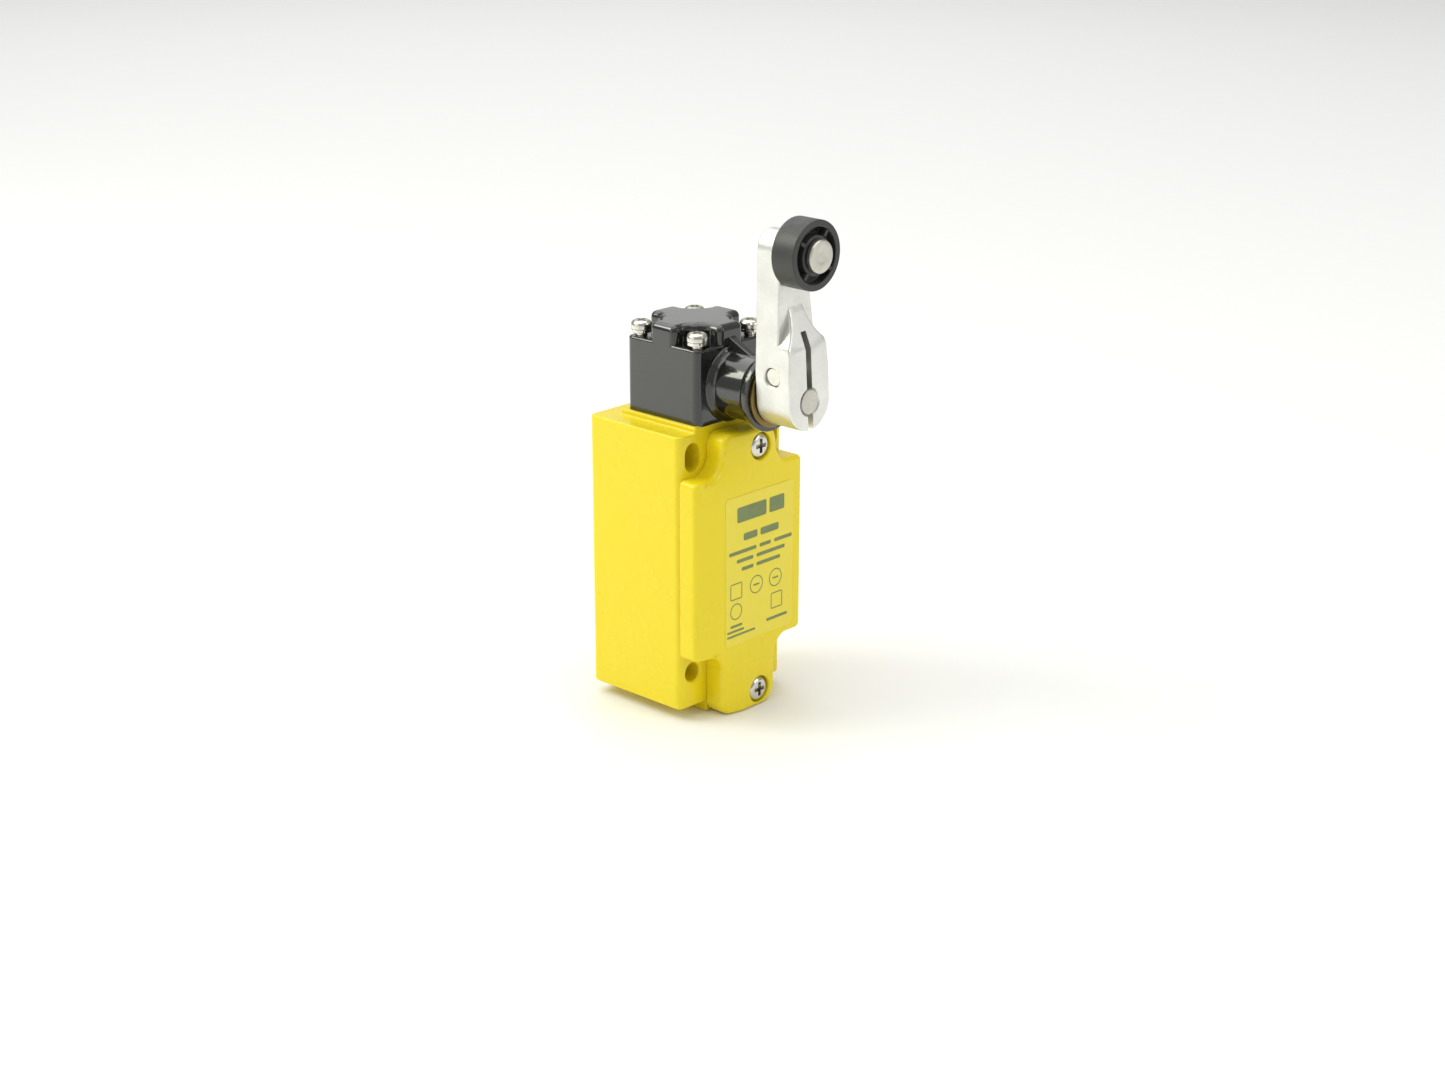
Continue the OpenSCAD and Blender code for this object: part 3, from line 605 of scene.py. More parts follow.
def make_lathe_rings() -> None:
    """Makes the group for the rings that turning leaves round the Z axis of the vector."""
    wiring, start, end = new_group("lathe_rings", {"Vector": None, "Pitch": 0.0003}, "Height")
    parts = wiring.add("ShaderNodeSeparateXYZ")
    wiring.plug(start.outputs["Vector"], parts.inputs[0])
    squares = [wiring.math("POWER", parts.outputs[name], 2.0) for name in ("X", "Y")]
    radius = wiring.math("SQRT", wiring.math("ADD", *squares))
    turns = wiring.math("DIVIDE", wiring.math("ADD", radius, parts.outputs["Z"]), start.outputs["Pitch"])
    wobble = wiring.noise(start.outputs["Vector"], 600.0, 2.0)
    angle = wiring.math("MULTIPLY", turns, math.tau)
    phase = wiring.math("ADD", angle, wiring.math("MULTIPLY", wobble, 5.0))
    wiring.plug(wiring.math("SINE", phase), end.inputs["Height"])


def make_dust() -> None:
    """Makes the group for the thin dust that settles on faces that look upwards."""
    wiring, start, end = new_group("dust", {"Vector": None, "Amount": 0.1}, "Mask")
    surface = wiring.add("ShaderNodeNewGeometry")
    parts = wiring.add("ShaderNodeSeparateXYZ")
    wiring.plug(surface.outputs["Normal"], parts.inputs[0])
    upward = wiring.spread(parts.outputs["Z"], 0.3, 1.0)
    patches = wiring.spread(wiring.noise(start.outputs["Vector"], 240.0, 4.0, 0.7), 0.42, 0.72)
    settled = wiring.math("MULTIPLY", wiring.math("MULTIPLY", upward, patches), start.outputs["Amount"])
    wiring.plug(settled, end.inputs["Mask"])


def make_edge_rub() -> None:
    """Makes the group for edges that handling has rubbed brighter."""
    wiring, start, end = new_group("edge_rub", {"Vector": None, "Amount": 0.5}, "Mask")
    surface = wiring.add("ShaderNodeNewGeometry")
    edges = wiring.spread(surface.outputs["Pointiness"], 0.52, 0.62)
    patches = wiring.spread(wiring.noise(start.outputs["Vector"], 700.0, 3.0, 0.6), 0.35, 0.65)
    rubbed = wiring.math("MULTIPLY", wiring.math("MULTIPLY", edges, patches), start.outputs["Amount"])
    wiring.plug(rubbed, end.inputs["Mask"])


def make_shader_groups() -> None:
    """Makes every shared shader group once."""
    for maker in (make_mottle, make_grain, make_strokes, make_lathe_rings, make_dust, make_edge_rub):
        maker()


class Relief(Enum):
    """Second relief that a finish shows beside its grain."""

    NONE = "none"
    STROKES = "strokes"
    RINGS = "rings"


@dataclass(frozen=True)
class Finish:
    """A surface finish: its colours, gloss and relief, in one procedural material."""

    name: str
    slot: str
    color: tuple[float, float, float]
    shade: tuple[float, float, float]
    roughness: float
    gloss_change: float = 0.06
    metallic: float = 0.0
    coat: float = 0.0
    grain_scale: float = 900.0
    grain_depth: float = 0.02
    pitting: float = 0.2
    mottle_scale: float = 90.0
    relief: Relief = Relief.NONE
    relief_depth: float = 0.0
    relief_centre: tuple[float, float, float] = (0.0, 0.0, 0.0)
    relief_turn: tuple[float, float, float] = (0.0, 0.0, 0.0)
    dust: float = 0.06
    rub: float = 0.0
    rub_color: tuple[float, float, float] = (0.8, 0.8, 0.8)
    specular: float = 0.5

    def _mix(self, wiring: Wiring, factor: Any, first: Any, second: Any) -> Any:
        """Mixes two colours by a factor socket.

        Args:
            wiring: The material's wiring.
            factor: Socket that gives the share of the second colour.
            first: Socket or colour.
            second: Socket or colour.

        Returns:
            The mixed colour's socket.
        """
        node = wiring.add("ShaderNodeMix", data_type="RGBA")
        wiring.plug(factor, node.inputs["Factor"])
        for socket, value in ((node.inputs[6], first), (node.inputs[7], second)):
            if isinstance(value, bpy.types.NodeSocket):
                wiring.plug(value, socket)
            else:
                socket.default_value = (*value, 1.0)
        return node.outputs[2]

    def _group(self, wiring: Wiring, name: str, vector: Any, **values: float) -> Any:
        """Places a shared group in the material and returns its output socket."""
        node = wiring.add("ShaderNodeGroup")
        node.node_tree = bpy.data.node_groups[name]
        wiring.plug(vector, node.inputs["Vector"])
        for label, value in values.items():
            node.inputs[label].default_value = value
        return node.outputs[0]

    def material(self) -> bpy.types.Material:
        """Makes the finish's material, or returns the one made before.

        Returns:
            The material.
        """
        made = bpy.data.materials.get(self.name)
        if made:
            return made
        made = bpy.data.materials.new(self.name)
        made.use_nodes = True
        made.node_tree.nodes.clear()
        wiring = Wiring(made.node_tree)
        out = wiring.add("ShaderNodeOutputMaterial")
        shader = wiring.add("ShaderNodeBsdfPrincipled")
        wiring.plug(shader.outputs[0], out.inputs["Surface"])
        shader.inputs["Metallic"].default_value = self.metallic
        shader.inputs["Coat Weight"].default_value = self.coat
        shader.inputs["Coat Roughness"].default_value = 0.07
        shader.inputs["Specular IOR Level"].default_value = self.specular
        place = wiring.add("ShaderNodeTexCoord").outputs["Object"]
        mottle = self._group(wiring, "mottle", place, Scale=self.mottle_scale)
        color = self._mix(wiring, mottle, self.color, self.shade)
        if self.rub:
            rubbed = self._group(wiring, "edge_rub", place, Amount=self.rub)
            color = self._mix(wiring, rubbed, color, self.rub_color)
        dust = self._group(wiring, "dust", place, Amount=self.dust)
        color = self._mix(wiring, dust, color, (0.62, 0.60, 0.54))
        wiring.plug(color, shader.inputs["Base Color"])
        swing = wiring.math("MULTIPLY", mottle, self.gloss_change)
        gloss = wiring.math("ADD", swing, self.roughness - self.gloss_change / 2)
        dulled = wiring.math("ADD", gloss, wiring.math("MULTIPLY", dust, 0.5))
        wiring.plug(dulled, shader.inputs["Roughness"])
        grain = self._group(wiring, "grain", place, Scale=self.grain_scale, Pitting=self.pitting)
        bump = wiring.add("ShaderNodeBump")
        bump.inputs["Strength"].default_value = 1.0
        bump.inputs["Distance"].default_value = self.grain_depth * MM
        wiring.plug(grain, bump.inputs["Height"])
        if self.relief is not Relief.NONE:
            centred = wiring.add("ShaderNodeMapping", vector_type="TEXTURE")
            centred.inputs["Location"].default_value = self.relief_centre
            centred.inputs["Rotation"].default_value = self.relief_turn
            wiring.plug(place, centred.inputs["Vector"])
            name = "strokes" if self.relief is Relief.STROKES else "lathe_rings"
            lines = self._group(wiring, name, centred.outputs["Vector"])
            second = wiring.add("ShaderNodeBump")
            second.inputs["Strength"].default_value = 1.0
            second.inputs["Distance"].default_value = self.relief_depth * MM
            wiring.plug(lines, second.inputs["Height"])
            wiring.plug(bump.outputs["Normal"], second.inputs["Normal"])
            bump = second
        wiring.plug(bump.outputs["Normal"], shader.inputs["Normal"])
        return made


@dataclass(frozen=True)
class Layout:
    """Places that several sub-assemblies share, all read from the frame."""

    housing: tuple[Vector, Vector] = field(default_factory=lambda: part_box("housing"))
    cover: tuple[Vector, Vector] = field(default_factory=lambda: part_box("cover"))
    head: tuple[Vector, Vector] = field(default_factory=lambda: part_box("head"))
    block: tuple[Vector, Vector] = field(default_factory=lambda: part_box("contact_block"))
    film: tuple[Vector, Vector] = field(default_factory=lambda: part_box("marking_film"))
    ring: tuple[Vector, Vector] = field(default_factory=lambda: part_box("thrust_ring"))
    shaft: tuple[Vector, Vector] = field(default_factory=lambda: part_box("shaft"))
    roller: tuple[Vector, Vector] = field(default_factory=lambda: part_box("roller"))

    @property
    def joint_y(self) -> float:
        """Plane where the cover meets the housing."""
        return self.housing[0].y

    @property
    def head_y(self) -> float:
        """Depth of the head's upright axis."""
        low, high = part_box("head_screws")
        return (low.y + high.y) / 2

    @property
    def shaft_axis(self) -> Vector:
        """Point on the lever's turning axis."""
        return Vector(next(j for j in frame["joints"] if j["name"] == "lever_swing")["pos_m"])

    @property
    def roller_axis(self) -> Vector:
        """Point on the roller's turning axis."""
        return Vector(next(j for j in frame["joints"] if j["name"] == "roller_spin")["pos_m"])

    @property
    def lever_len(self) -> float:
        """Distance between the lever's axis and the roller's."""
        step = self.roller_axis - self.shaft_axis
        return math.hypot(step.x, step.z)

    def lean(self, piece: bpy.types.Object) -> bpy.types.Object:
        """Turns a piece that was modelled upright to the lever's lean.

        Args:
            piece: The piece, modelled with the lever straight up.

        Returns:
            The same piece.
        """
        step = self.roller_axis - self.shaft_axis
        axis = Matrix.Translation(self.shaft_axis)
        turn = Matrix.Rotation(math.atan2(step.x, step.z), 4, "Y")
        piece.matrix_world = axis @ turn @ axis.inverted()
        settle(piece)
        return piece


def place_piece(
    piece: bpy.types.Object, name: str, finish: Finish, body: Body, *nodes: str
) -> bpy.types.Object:
    """Dresses a finished piece and hangs it on its body.

    Args:
        piece: The finished mesh.
        name: Name of the piece.
        finish: Its finish.
        body: The body that it rides on.
        *nodes: Frame nodes that it stands for.

    Returns:
        The same piece.
    """
    piece.name = name
    piece.data.name = name
    piece.data.materials.clear()
    piece.data.materials.append(finish.material())
    for face in piece.data.polygons:
        face.material_index = 0
    shade(piece)
    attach(piece, body.value)
    if nodes:
        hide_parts(*nodes)
    LOG.info("%s: %d faces, on %s", name, len(piece.data.polygons), body.value)
    return piece


# Finishes

BODY_PAINT = Finish(
    "yellow_gloss_paint", "body_paint", (0.86, 0.69, 0.011), (0.845, 0.675, 0.010), 0.27,
    gloss_change=0.04, coat=0.14, grain_scale=420.0, grain_depth=0.006, pitting=0.12,
    mottle_scale=45.0, dust=0.01, specular=0.34,
)
HEAD_PAINT = Finish(
    "black_gloss_paint", "head_paint", (0.007, 0.0075, 0.006), (0.012, 0.0125, 0.010), 0.13,
    gloss_change=0.05, coat=0.8, grain_scale=420.0, grain_depth=0.005, pitting=0.10,
    mottle_scale=70.0, dust=0.03, rub=0.20, rub_color=(0.10, 0.10, 0.095), specular=0.5,
)
FILM = Finish(
    "satin_marking_film", "marking_film", (0.86, 0.725, 0.055), (0.84, 0.70, 0.050), 0.46,
    gloss_change=0.05, grain_scale=2600.0, grain_depth=0.003, pitting=0.1, dust=0.02,
)
INK = Finish(
    "grey_green_ink", "", (0.165, 0.215, 0.075), (0.200, 0.255, 0.090), 0.50,
    gloss_change=0.08, grain_scale=3000.0, grain_depth=0.002, mottle_scale=500.0, dust=0.02,
)
LEVER_ALLOY = Finish(
    "satin_cast_alloy", "lever_alloy", (0.80, 0.80, 0.76), (0.72, 0.72, 0.68), 0.36,
    gloss_change=0.12, metallic=0.92, grain_scale=1500.0, grain_depth=0.008, pitting=0.5,
    mottle_scale=160.0, relief=Relief.STROKES, relief_depth=0.0015,
    relief_turn=(0.0, math.radians(90), 0.0), dust=0.04, rub=0.4, rub_color=(0.95, 0.95, 0.93),
)
NICKEL = Finish(
    "nickel_plate", "nickel_screws", (0.72, 0.70, 0.63), (0.62, 0.60, 0.53), 0.20,
    gloss_change=0.12, metallic=1.0, grain_scale=1800.0, grain_depth=0.003, pitting=0.4,
    mottle_scale=300.0, dust=0.05, rub=0.3, rub_color=(0.93, 0.92, 0.90),
)
ZINC = Finish(
    "zinc_plate", "zinc_screws", (0.60, 0.62, 0.65), (0.50, 0.52, 0.56), 0.33,
    gloss_change=0.14, metallic=1.0, grain_scale=1600.0, grain_depth=0.003, mottle_scale=350.0,
)
SHAFT_STEEL = Finish(
    "ground_steel", "shaft_steel", (0.60, 0.58, 0.52), (0.52, 0.50, 0.45), 0.30,
    gloss_change=0.12, metallic=1.0, grain_scale=2400.0, grain_depth=0.002,
    relief=Relief.RINGS, relief_depth=0.0016, relief_centre=(0.0, 0.0, 0.0472),
    relief_turn=(math.radians(90), 0.0, 0.0), mottle_scale=260.0,
)
PIN_STEEL = Finish(
    "turned_pin_steel", "pin_steel", (0.62, 0.61, 0.54), (0.54, 0.53, 0.47), 0.34,
    gloss_change=0.12, metallic=1.0, grain_scale=2200.0, grain_depth=0.003,
    relief=Relief.RINGS, relief_depth=0.0022, relief_centre=(-0.002653, 0.0, 0.08611),
    relief_turn=(math.radians(90), 0.0, 0.0), mottle_scale=280.0,
)
SPRING_STEEL = Finish(
    "drawn_spring_steel", "spring_steel", (0.48, 0.48, 0.47), (0.36, 0.36, 0.36), 0.30,
    gloss_change=0.12, metallic=1.0, grain_scale=4000.0, grain_depth=0.002, mottle_scale=500.0,
)
BRONZE = Finish(
    "sintered_bronze", "bearing_bronze", (0.46, 0.25, 0.10), (0.34, 0.18, 0.07), 0.45,
    gloss_change=0.1, metallic=1.0, grain_scale=3000.0, grain_depth=0.012, pitting=0.9,
)
RING_BRASS = Finish(
    "turned_brass", "ring_brass", (0.27, 0.20, 0.075), (0.21, 0.15, 0.055), 0.30,
    gloss_change=0.1, metallic=1.0, grain_scale=2600.0, grain_depth=0.002,
    relief=Relief.RINGS, relief_depth=0.0015, relief_centre=(0.0, 0.0, 0.0472),
    relief_turn=(math.radians(90), 0.0, 0.0),
)
CONTACT_BRASS = Finish(
    "stamped_contact_brass", "contact_brass", (0.66, 0.48, 0.18), (0.54, 0.38, 0.14), 0.26,
    gloss_change=0.12, metallic=1.0, grain_scale=2400.0, grain_depth=0.003, mottle_scale=400.0,
)
GROUND_BRASS = Finish(
    "ground_terminal_brass", "ground_brass", (0.58, 0.45, 0.17), (0.48, 0.36, 0.13), 0.32,
    gloss_change=0.1, metallic=1.0, grain_scale=2400.0, grain_depth=0.003, mottle_scale=400.0,
)
SEAL_RUBBER = Finish(
    "nitrile_rubber", "seal_rubber", (0.014, 0.014, 0.014), (0.024, 0.024, 0.023), 0.68,
    gloss_change=0.14, grain_scale=2600.0, grain_depth=0.012, pitting=0.5, specular=0.35,
)
ROLLER_PLASTIC = Finish(
    "matt_roller_nylon", "roller_plastic", (0.020, 0.021, 0.020), (0.030, 0.031, 0.029), 0.44,
    gloss_change=0.12, grain_scale=2200.0, grain_depth=0.010, pitting=0.6, mottle_scale=220.0,
    dust=0.10, specular=0.65,
)
BLOCK_PLASTIC = Finish(
    "thermoset_block", "block_plastic", (0.035, 0.035, 0.038), (0.050, 0.050, 0.053), 0.42,
    gloss_change=0.1, grain_scale=1400.0, grain_depth=0.012, pitting=0.5,
)
LID_PLASTIC = Finish(
    "ivory_lid", "lid_plastic", (0.56, 0.53, 0.40), (0.50, 0.47, 0.35), 0.40,
    grain_scale=1400.0, grain_depth=0.010, pitting=0.4,
)
CARRIER_PLASTIC = Finish(
    "white_carrier", "carrier_plastic", (0.72, 0.72, 0.69), (0.66, 0.66, 0.62), 0.38,
    grain_scale=1600.0, grain_depth=0.008, pitting=0.3,
)
PLUNGER_PLASTIC = Finish(
    "acetal_plunger", "plunger_plastic", (0.66, 0.66, 0.62), (0.60, 0.60, 0.56), 0.34,
    grain_scale=1800.0, grain_depth=0.006, pitting=0.3,
)
FINISHES = (
    BODY_PAINT, HEAD_PAINT, FILM, LEVER_ALLOY, NICKEL, ZINC, SHAFT_STEEL, PIN_STEEL, SPRING_STEEL,
    BRONZE, RING_BRASS, CONTACT_BRASS, GROUND_BRASS, SEAL_RUBBER, ROLLER_PLASTIC, BLOCK_PLASTIC,
    LID_PLASTIC, CARRIER_PLASTIC, PLUNGER_PLASTIC,
)


@dataclass
class HousingShell:
    """The die-cast body: walls, seat for the head, conduit hub and mounting holes."""

    layout: Layout
    seat_h: float = 1.6 * MM
    hub_drop: float = 3.2 * MM
    seat_margin: float = 1.0 * MM
    edge_r: float = 1.9 * MM
    back_foot_r: float = 3.6 * MM
    wall: float = 3.0 * MM
    chamber_half: tuple[float, float] = (17.0 * MM, 22.4 * MM)
    wiring_half: float = 8.0 * MM
    wiring_floor: float = -33.0 * MM
    conduit_r: float = 9.2 * MM
    thread_pitch: float = 1.5 * MM
    hole_r: float = 2.65 * MM
    slot_half: float = 3.8 * MM
    countersink: float = 0.45 * MM

    def _walls(self) -> bpy.types.Object:
        """Makes the outer block with its rounded edges, seat and hub."""
        low, high = self.layout.housing
        top, bottom = high.z - self.seat_h, low.z + self.hub_drop
        body = add_block("housing_shell", (low.x, low.y, bottom), (high.x, high.y, top))
        bevel_edges(body, along(Axis.Z), self.edge_r, 8)
        back = high.y - NEAR
        bevel_edges(
            body, lambda e: all(v.co.y > back and v.co.z < bottom + NEAR for v in e.verts),
            self.back_foot_r, 8,
        )
        head_low, head_high = self.layout.head
        seat_back = self.layout.head_y * 2 - self.layout.joint_y + self.seat_margin
        seat = add_block(
            "seat",
            (head_low.x - self.seat_margin, low.y, top - CUT),
            (head_high.x + self.seat_margin, seat_back, high.z),
        )
        hub = add_block("hub", (-13.5 * MM, low.y + 6 * MM, low.z), (13.5 * MM, -6 * MM, bottom + CUT))
        foot = add_block("foot", (-9.8 * MM, low.y, low.z), (9.8 * MM, -6 * MM, bottom + CUT))
        combine(body, (seat, hub, foot), Joining.ADD)
        tidy_faces(body)
        return soften(body, 0.55 * MM, 4)

    def _chamber_tools(self) -> list[bpy.types.Object]:
        """Makes the shapes that hollow the body out."""
        front, back = self.layout.joint_y - CUT, -self.wall
        half_x, half_z = self.chamber_half
        chamber = add_block("chamber", (-half_x, front, -half_z), (half_x, back, half_z))
        wiring = add_block(
            "wiring", (-self.wiring_half, front, self.wiring_floor), (self.wiring_half, back, 0)
        )
        for tool in (chamber, wiring):
            bevel_edges(tool, along(Axis.Y), 1.2 * MM, 5)
        return [chamber, wiring]

    def _conduit_tool(self) -> bpy.types.Object:
        """Makes the threaded conduit entry as a stack of thread grooves."""
        low, _ = self.layout.housing
        mount = next(m for m in frame["record"]["mounts"] if m["name"] == "conduit_entry")
        depth = self.wiring_floor - low.z
        crest = self.conduit_r - 0.75 * MM
        stations = [(-CUT, self.conduit_r + 0.6 * MM), (0.0, self.conduit_r + 0.1 * MM)]
        turns = int(depth / self.thread_pitch)
        for turn in range(turns):
            start = turn * self.thread_pitch + 0.3 * MM
            stations += [(start, self.conduit_r), (start + self.thread_pitch / 2, crest)]
        stations += [(depth + 0.2 * MM, self.conduit_r)]
        return turned("conduit", stations, (mount["pos_m"][0], mount["pos_m"][1], low.z), (0, 0, 1))

    def _mounting_tools(self) -> list[bpy.types.Object]:
        """Makes the tools for the two holes, the two slots and their broken edges."""
        low, high = self.layout.housing
        spread = 15.0 * MM
        row = 30.0 * MM
        tools = []
        for side in (-1, 1):
            deep = high.y - low.y
            flare = self.hole_r + self.countersink
            stations = [
                (-CUT, flare + CUT), (self.countersink, self.hole_r),
                (deep - self.countersink, self.hole_r), (deep + CUT, flare + CUT),
            ]
            tools.append(turned("hole", stations, (side * spread, high.y, -row), (0, -1, 0), 64))
            slot = add_block(
                "slot",
                (side * spread - self.hole_r, low.y - CUT, row - self.slot_half),
                (side * spread + self.hole_r, high.y + CUT, row + self.slot_half),
            )
            tools.append(bevel_edges(slot, along(Axis.Y), self.hole_r * 0.998, 14))
            for face_y in (low.y, high.y):
                mouth = add_block(
                    "mouth",
                    (side * spread - self.hole_r - self.countersink, face_y - self.countersink,
                     row - self.slot_half - self.countersink),
                    (side * spread + self.hole_r + self.countersink, face_y + self.countersink,
                     row + self.slot_half + self.countersink),
                )
                bevel_edges(mouth, along(Axis.Y), self.hole_r + self.countersink * 0.99, 14)
                inner = face_y + (self.countersink if face_y == low.y else -self.countersink)
                self._narrow(mouth, inner)
                tools.append(mouth)
        return tools

    def _narrow(self, mouth: bpy.types.Object, inner: float) -> None:
        """Draws a slot's mouth in to the slot's own width at its inner end.

        Args:
            mouth: The tool for the mouth.
            inner: Depth of its inner end.
        """
        low, high = (Vector(c) for c in (mouth.bound_box[0], mouth.bound_box[6]))
        centre = (low + high) / 2
        wide, tall = high.x - low.x, high.z - low.z
        select_only(mouth)
        bpy.ops.object.mode_set(mode="EDIT")
        bpy.ops.mesh.select_mode(type="VERT")
        bpy.ops.mesh.select_all(action="DESELECT")
        mesh = bmesh.from_edit_mesh(mouth.data)
        for vertex in mesh.verts:
            vertex.select_set(abs(vertex.co.y - inner) < ON_PLANE)
        mesh.select_flush(True)
        bmesh.update_edit_mesh(mouth.data)
        step = 2 * self.countersink
        bpy.ops.transform.resize(
            value=((wide - step) / wide, 1, (tall - step) / tall),
            center_override=(centre.x, inner, centre.z),
        )
        bpy.ops.object.mode_set(mode="OBJECT")

    def _fastener_tools(self) -> list[bpy.types.Object]:
        """Makes the tapped holes, the plunger guide and the spring bore."""
        high = self.layout.housing[1]
        tools = [
            add_bar("tap", 1.55 * MM, (x, y, high.z - 9 * MM), (x, y, high.z + CUT), 48)
            for x, y in head_screw_spots()
        ]
        cover_low, cover_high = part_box("cover_screws")
        x = (cover_low.x + cover_high.x) / 2
        front = self.layout.joint_y
        lower, upper = cover_low.z + COVER_SCREW_R, cover_high.z - COVER_SCREW_R
        for z, deep in ((lower, 6.4 * MM), (upper, 7.6 * MM)):
            tools.append(add_bar("tap", 2.05 * MM, (x, front - CUT, z), (x, front + deep, z), 48))
        y = self.layout.head_y
        guide_bottom = self.chamber_half[1] - CUT
        tools.append(add_bar("guide", 3.05 * MM, (0, y, guide_bottom), (0, y, high.z + CUT), 64))
        tools.append(add_bar("spring_bore", 5.5 * MM, (0, y, high.z - 3.6 * MM), (0, y, high.z + CUT), 64))
        return tools

    def build(self) -> bpy.types.Object:
        """Builds and dresses the housing.

        Returns:
            The housing piece.
        """
        body = self._walls()
        tools = [*self._chamber_tools(), self._conduit_tool(), *self._mounting_tools()]
        combine(body, [*tools, *self._fastener_tools()], Joining.CUT)
        boss_low, boss_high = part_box("ground_clamp")
        boss_at = (boss_low + boss_high) / 2
        boss = turned(
            "ground_boss",
            [(0, 3.4 * MM), (0.5 * MM, 3 * MM), (2.4 * MM, 3 * MM), (2.5 * MM, 2.9 * MM)],
            (boss_at.x, -self.wall + 0.01 * MM, boss_at.z), (0, -1, 0), 48,
        )
        combine(body, [boss], Joining.ADD)
        merge_close(body)
        return place_piece(body, "housing_casting", BODY_PAINT, Body.CASE, "housing")


@dataclass
class FrontCover:
    """The bolted cover with its two tabs, four scoops and sloping left border."""

    layout: Layout
    shoulder_z: float = 24.8 * MM
    tab_half: float = 9.8 * MM
    corner_r: float = 1.6 * MM
    left_r: float = 3.5 * MM
    right_r: float = 5.0 * MM
    scoop_r: float = 5.7 * MM
    border_w: float = 7.8 * MM
    border_drop: float = 1.6 * MM
    dish_r: float = 9.1 * MM
    dish_top: float = 28.9 * MM
    dish_bottom: float = -33.0 * MM
    rounding: float = 1.25 * MM
    back_edge: float = 0.3 * MM
    wall: float = 2.5 * MM
    screw_x: float = 3.6 * MM
    counterbore_r: float = 3.75 * MM
    counterbore_deep: float = 2.6 * MM

    def _plate(self) -> bpy.types.Object:
        """Makes the flat plate with its outline, with no holes."""
        low, high = self.layout.cover
        plate = add_block("plate", (low.x, low.y, -self.shoulder_z), (high.x, high.y, self.shoulder_z))
        bevel_edges(plate, along(Axis.Y), self.corner_r, 7)
        tab = add_block("tab", (-self.tab_half, low.y, low.z), (self.tab_half, high.y, high.z))
        bevel_edges(tab, along(Axis.Y, lambda p: p.x < 0), self.left_r, 14)
        bevel_edges(tab, along(Axis.Y, lambda p: p.x > self.tab_half - NEAR), self.right_r, 16)
        fillers = []
        for side in (-1, 1):
            for end in (-1, 1):
                fillers.append(self._scoop(side, end))
        combine(plate, (tab, *fillers), Joining.ADD)
        return tidy_faces(plate)

    def _scoop(self, side: int, end: int) -> bpy.types.Object:
        """Makes the filler that rounds the corner between a shoulder and a tab.

        Args:
            side: -1 for the left, 1 for the right.
            end: -1 for the lower end, 1 for the upper end.

        Returns:
            The filler.
        """
        low, high = self.layout.cover
        reach = self.scoop_r - 0.15 * MM
        corner = Vector((side * (self.tab_half + reach), 0, end * (self.shoulder_z + reach)))
        inner = Vector((side * (self.tab_half - CUT), 0, end * (self.shoulder_z - CUT)))
        filler = add_block(
            "filler",
            (min(corner.x, inner.x), low.y, min(corner.z, inner.z)),
            (max(corner.x, inner.x), high.y, max(corner.z, inner.z)),
        )
        start = (corner.x, high.y + CUT, corner.z)
        hollow = add_bar("hollow", self.scoop_r, start, (corner.x, low.y - CUT, corner.z), 128)
        return combine(filler, [hollow], Joining.CUT)

    def _slope(self, start_x: float, low_z: float, high_z: float) -> bpy.types.Object:
        """Makes the tool that slopes the front back towards the left.

        Args:
            start_x: Where the slope starts, at the front plane.
            low_z: Lower end of the slope.
            high_z: Upper end of the slope.

        Returns:
            The tool, for combine.
        """
        front = self.layout.cover[0].y
        deep = 10 * MM
        tool = add_block("slope", (-0.05, front - deep, low_z), (start_x, front, high_z))
        angle = math.atan2(self.border_drop, self.border_w)
        place = Matrix.Translation((start_x, front, 0))
        tool.matrix_world = place @ Matrix.Rotation(-angle, 4, "Z") @ place.inverted()
        settle(tool)
        return tool

    def _border_tools(self) -> list[bpy.types.Object]:
        """Makes the slopes and the two shallow dishes of the left border."""
        low = self.layout.cover[0]
        start = low.x + self.border_w
        slope = self.border_drop / self.border_w
        rim = self.dish_r + 0.5 * MM
        tools = [
            self._slope(start, self.dish_bottom, self.dish_top),
            self._slope(start + self.dish_r, self.dish_top, 0.05),
            self._slope(start + self.dish_r, -0.06, self.dish_bottom),
        ]
        for z in (self.dish_top, self.dish_bottom):
            stations = [
                (-slope * (rim - 0.5 * MM), 0.5 * MM), (0, rim), (CUT, rim + CUT / slope),
            ]
            tools.append(turned("dish", stations, (start, low.y, z), (0, -1, 0), 160))
        return tools

    def _hollow_tool(self) -> bpy.types.Object:
        """Makes the tool for the hollow in the cover's back."""
        low, high = self.layout.cover
        tool = add_block(
            "hollow", (-15.4 * MM, low.y + self.wall, -20.8 * MM), (15.4 * MM, high.y + CUT, 20.8 * MM)
        )
        bevel_edges(tool, along(Axis.Y), 2 * MM, 8)
        return tool

    def build(self) -> bpy.types.Object:
        """Builds and dresses the cover.

        Returns:
            The cover piece.
        """
        low, high = self.layout.cover
        plate = combine(self._plate(), self._border_tools(), Joining.CUT)
        tidy_faces(plate)
        self._round_front(plate)
        tools = [self._hollow_tool()]
        screws_low, screws_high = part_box("cover_screws")
        thick, hole_r = high.y - low.y, 2.25 * MM
        seat = thick - self.counterbore_deep
        for z in (screws_low.z + COVER_SCREW_R, screws_high.z - COVER_SCREW_R):
            stations = [
                (-CUT, hole_r), (seat, hole_r), (seat, self.counterbore_r),
                (thick - 0.3 * MM, self.counterbore_r),
                (thick + CUT, self.counterbore_r + CUT + 0.3 * MM),
            ]
            tools.append(turned("bore", stations, (self.screw_x, high.y, z), (0, -1, 0), 72))
        combine(plate, tools, Joining.CUT)
        merge_close(plate)
        return place_piece(plate, "cover_casting", BODY_PAINT, Body.CASE, "cover")

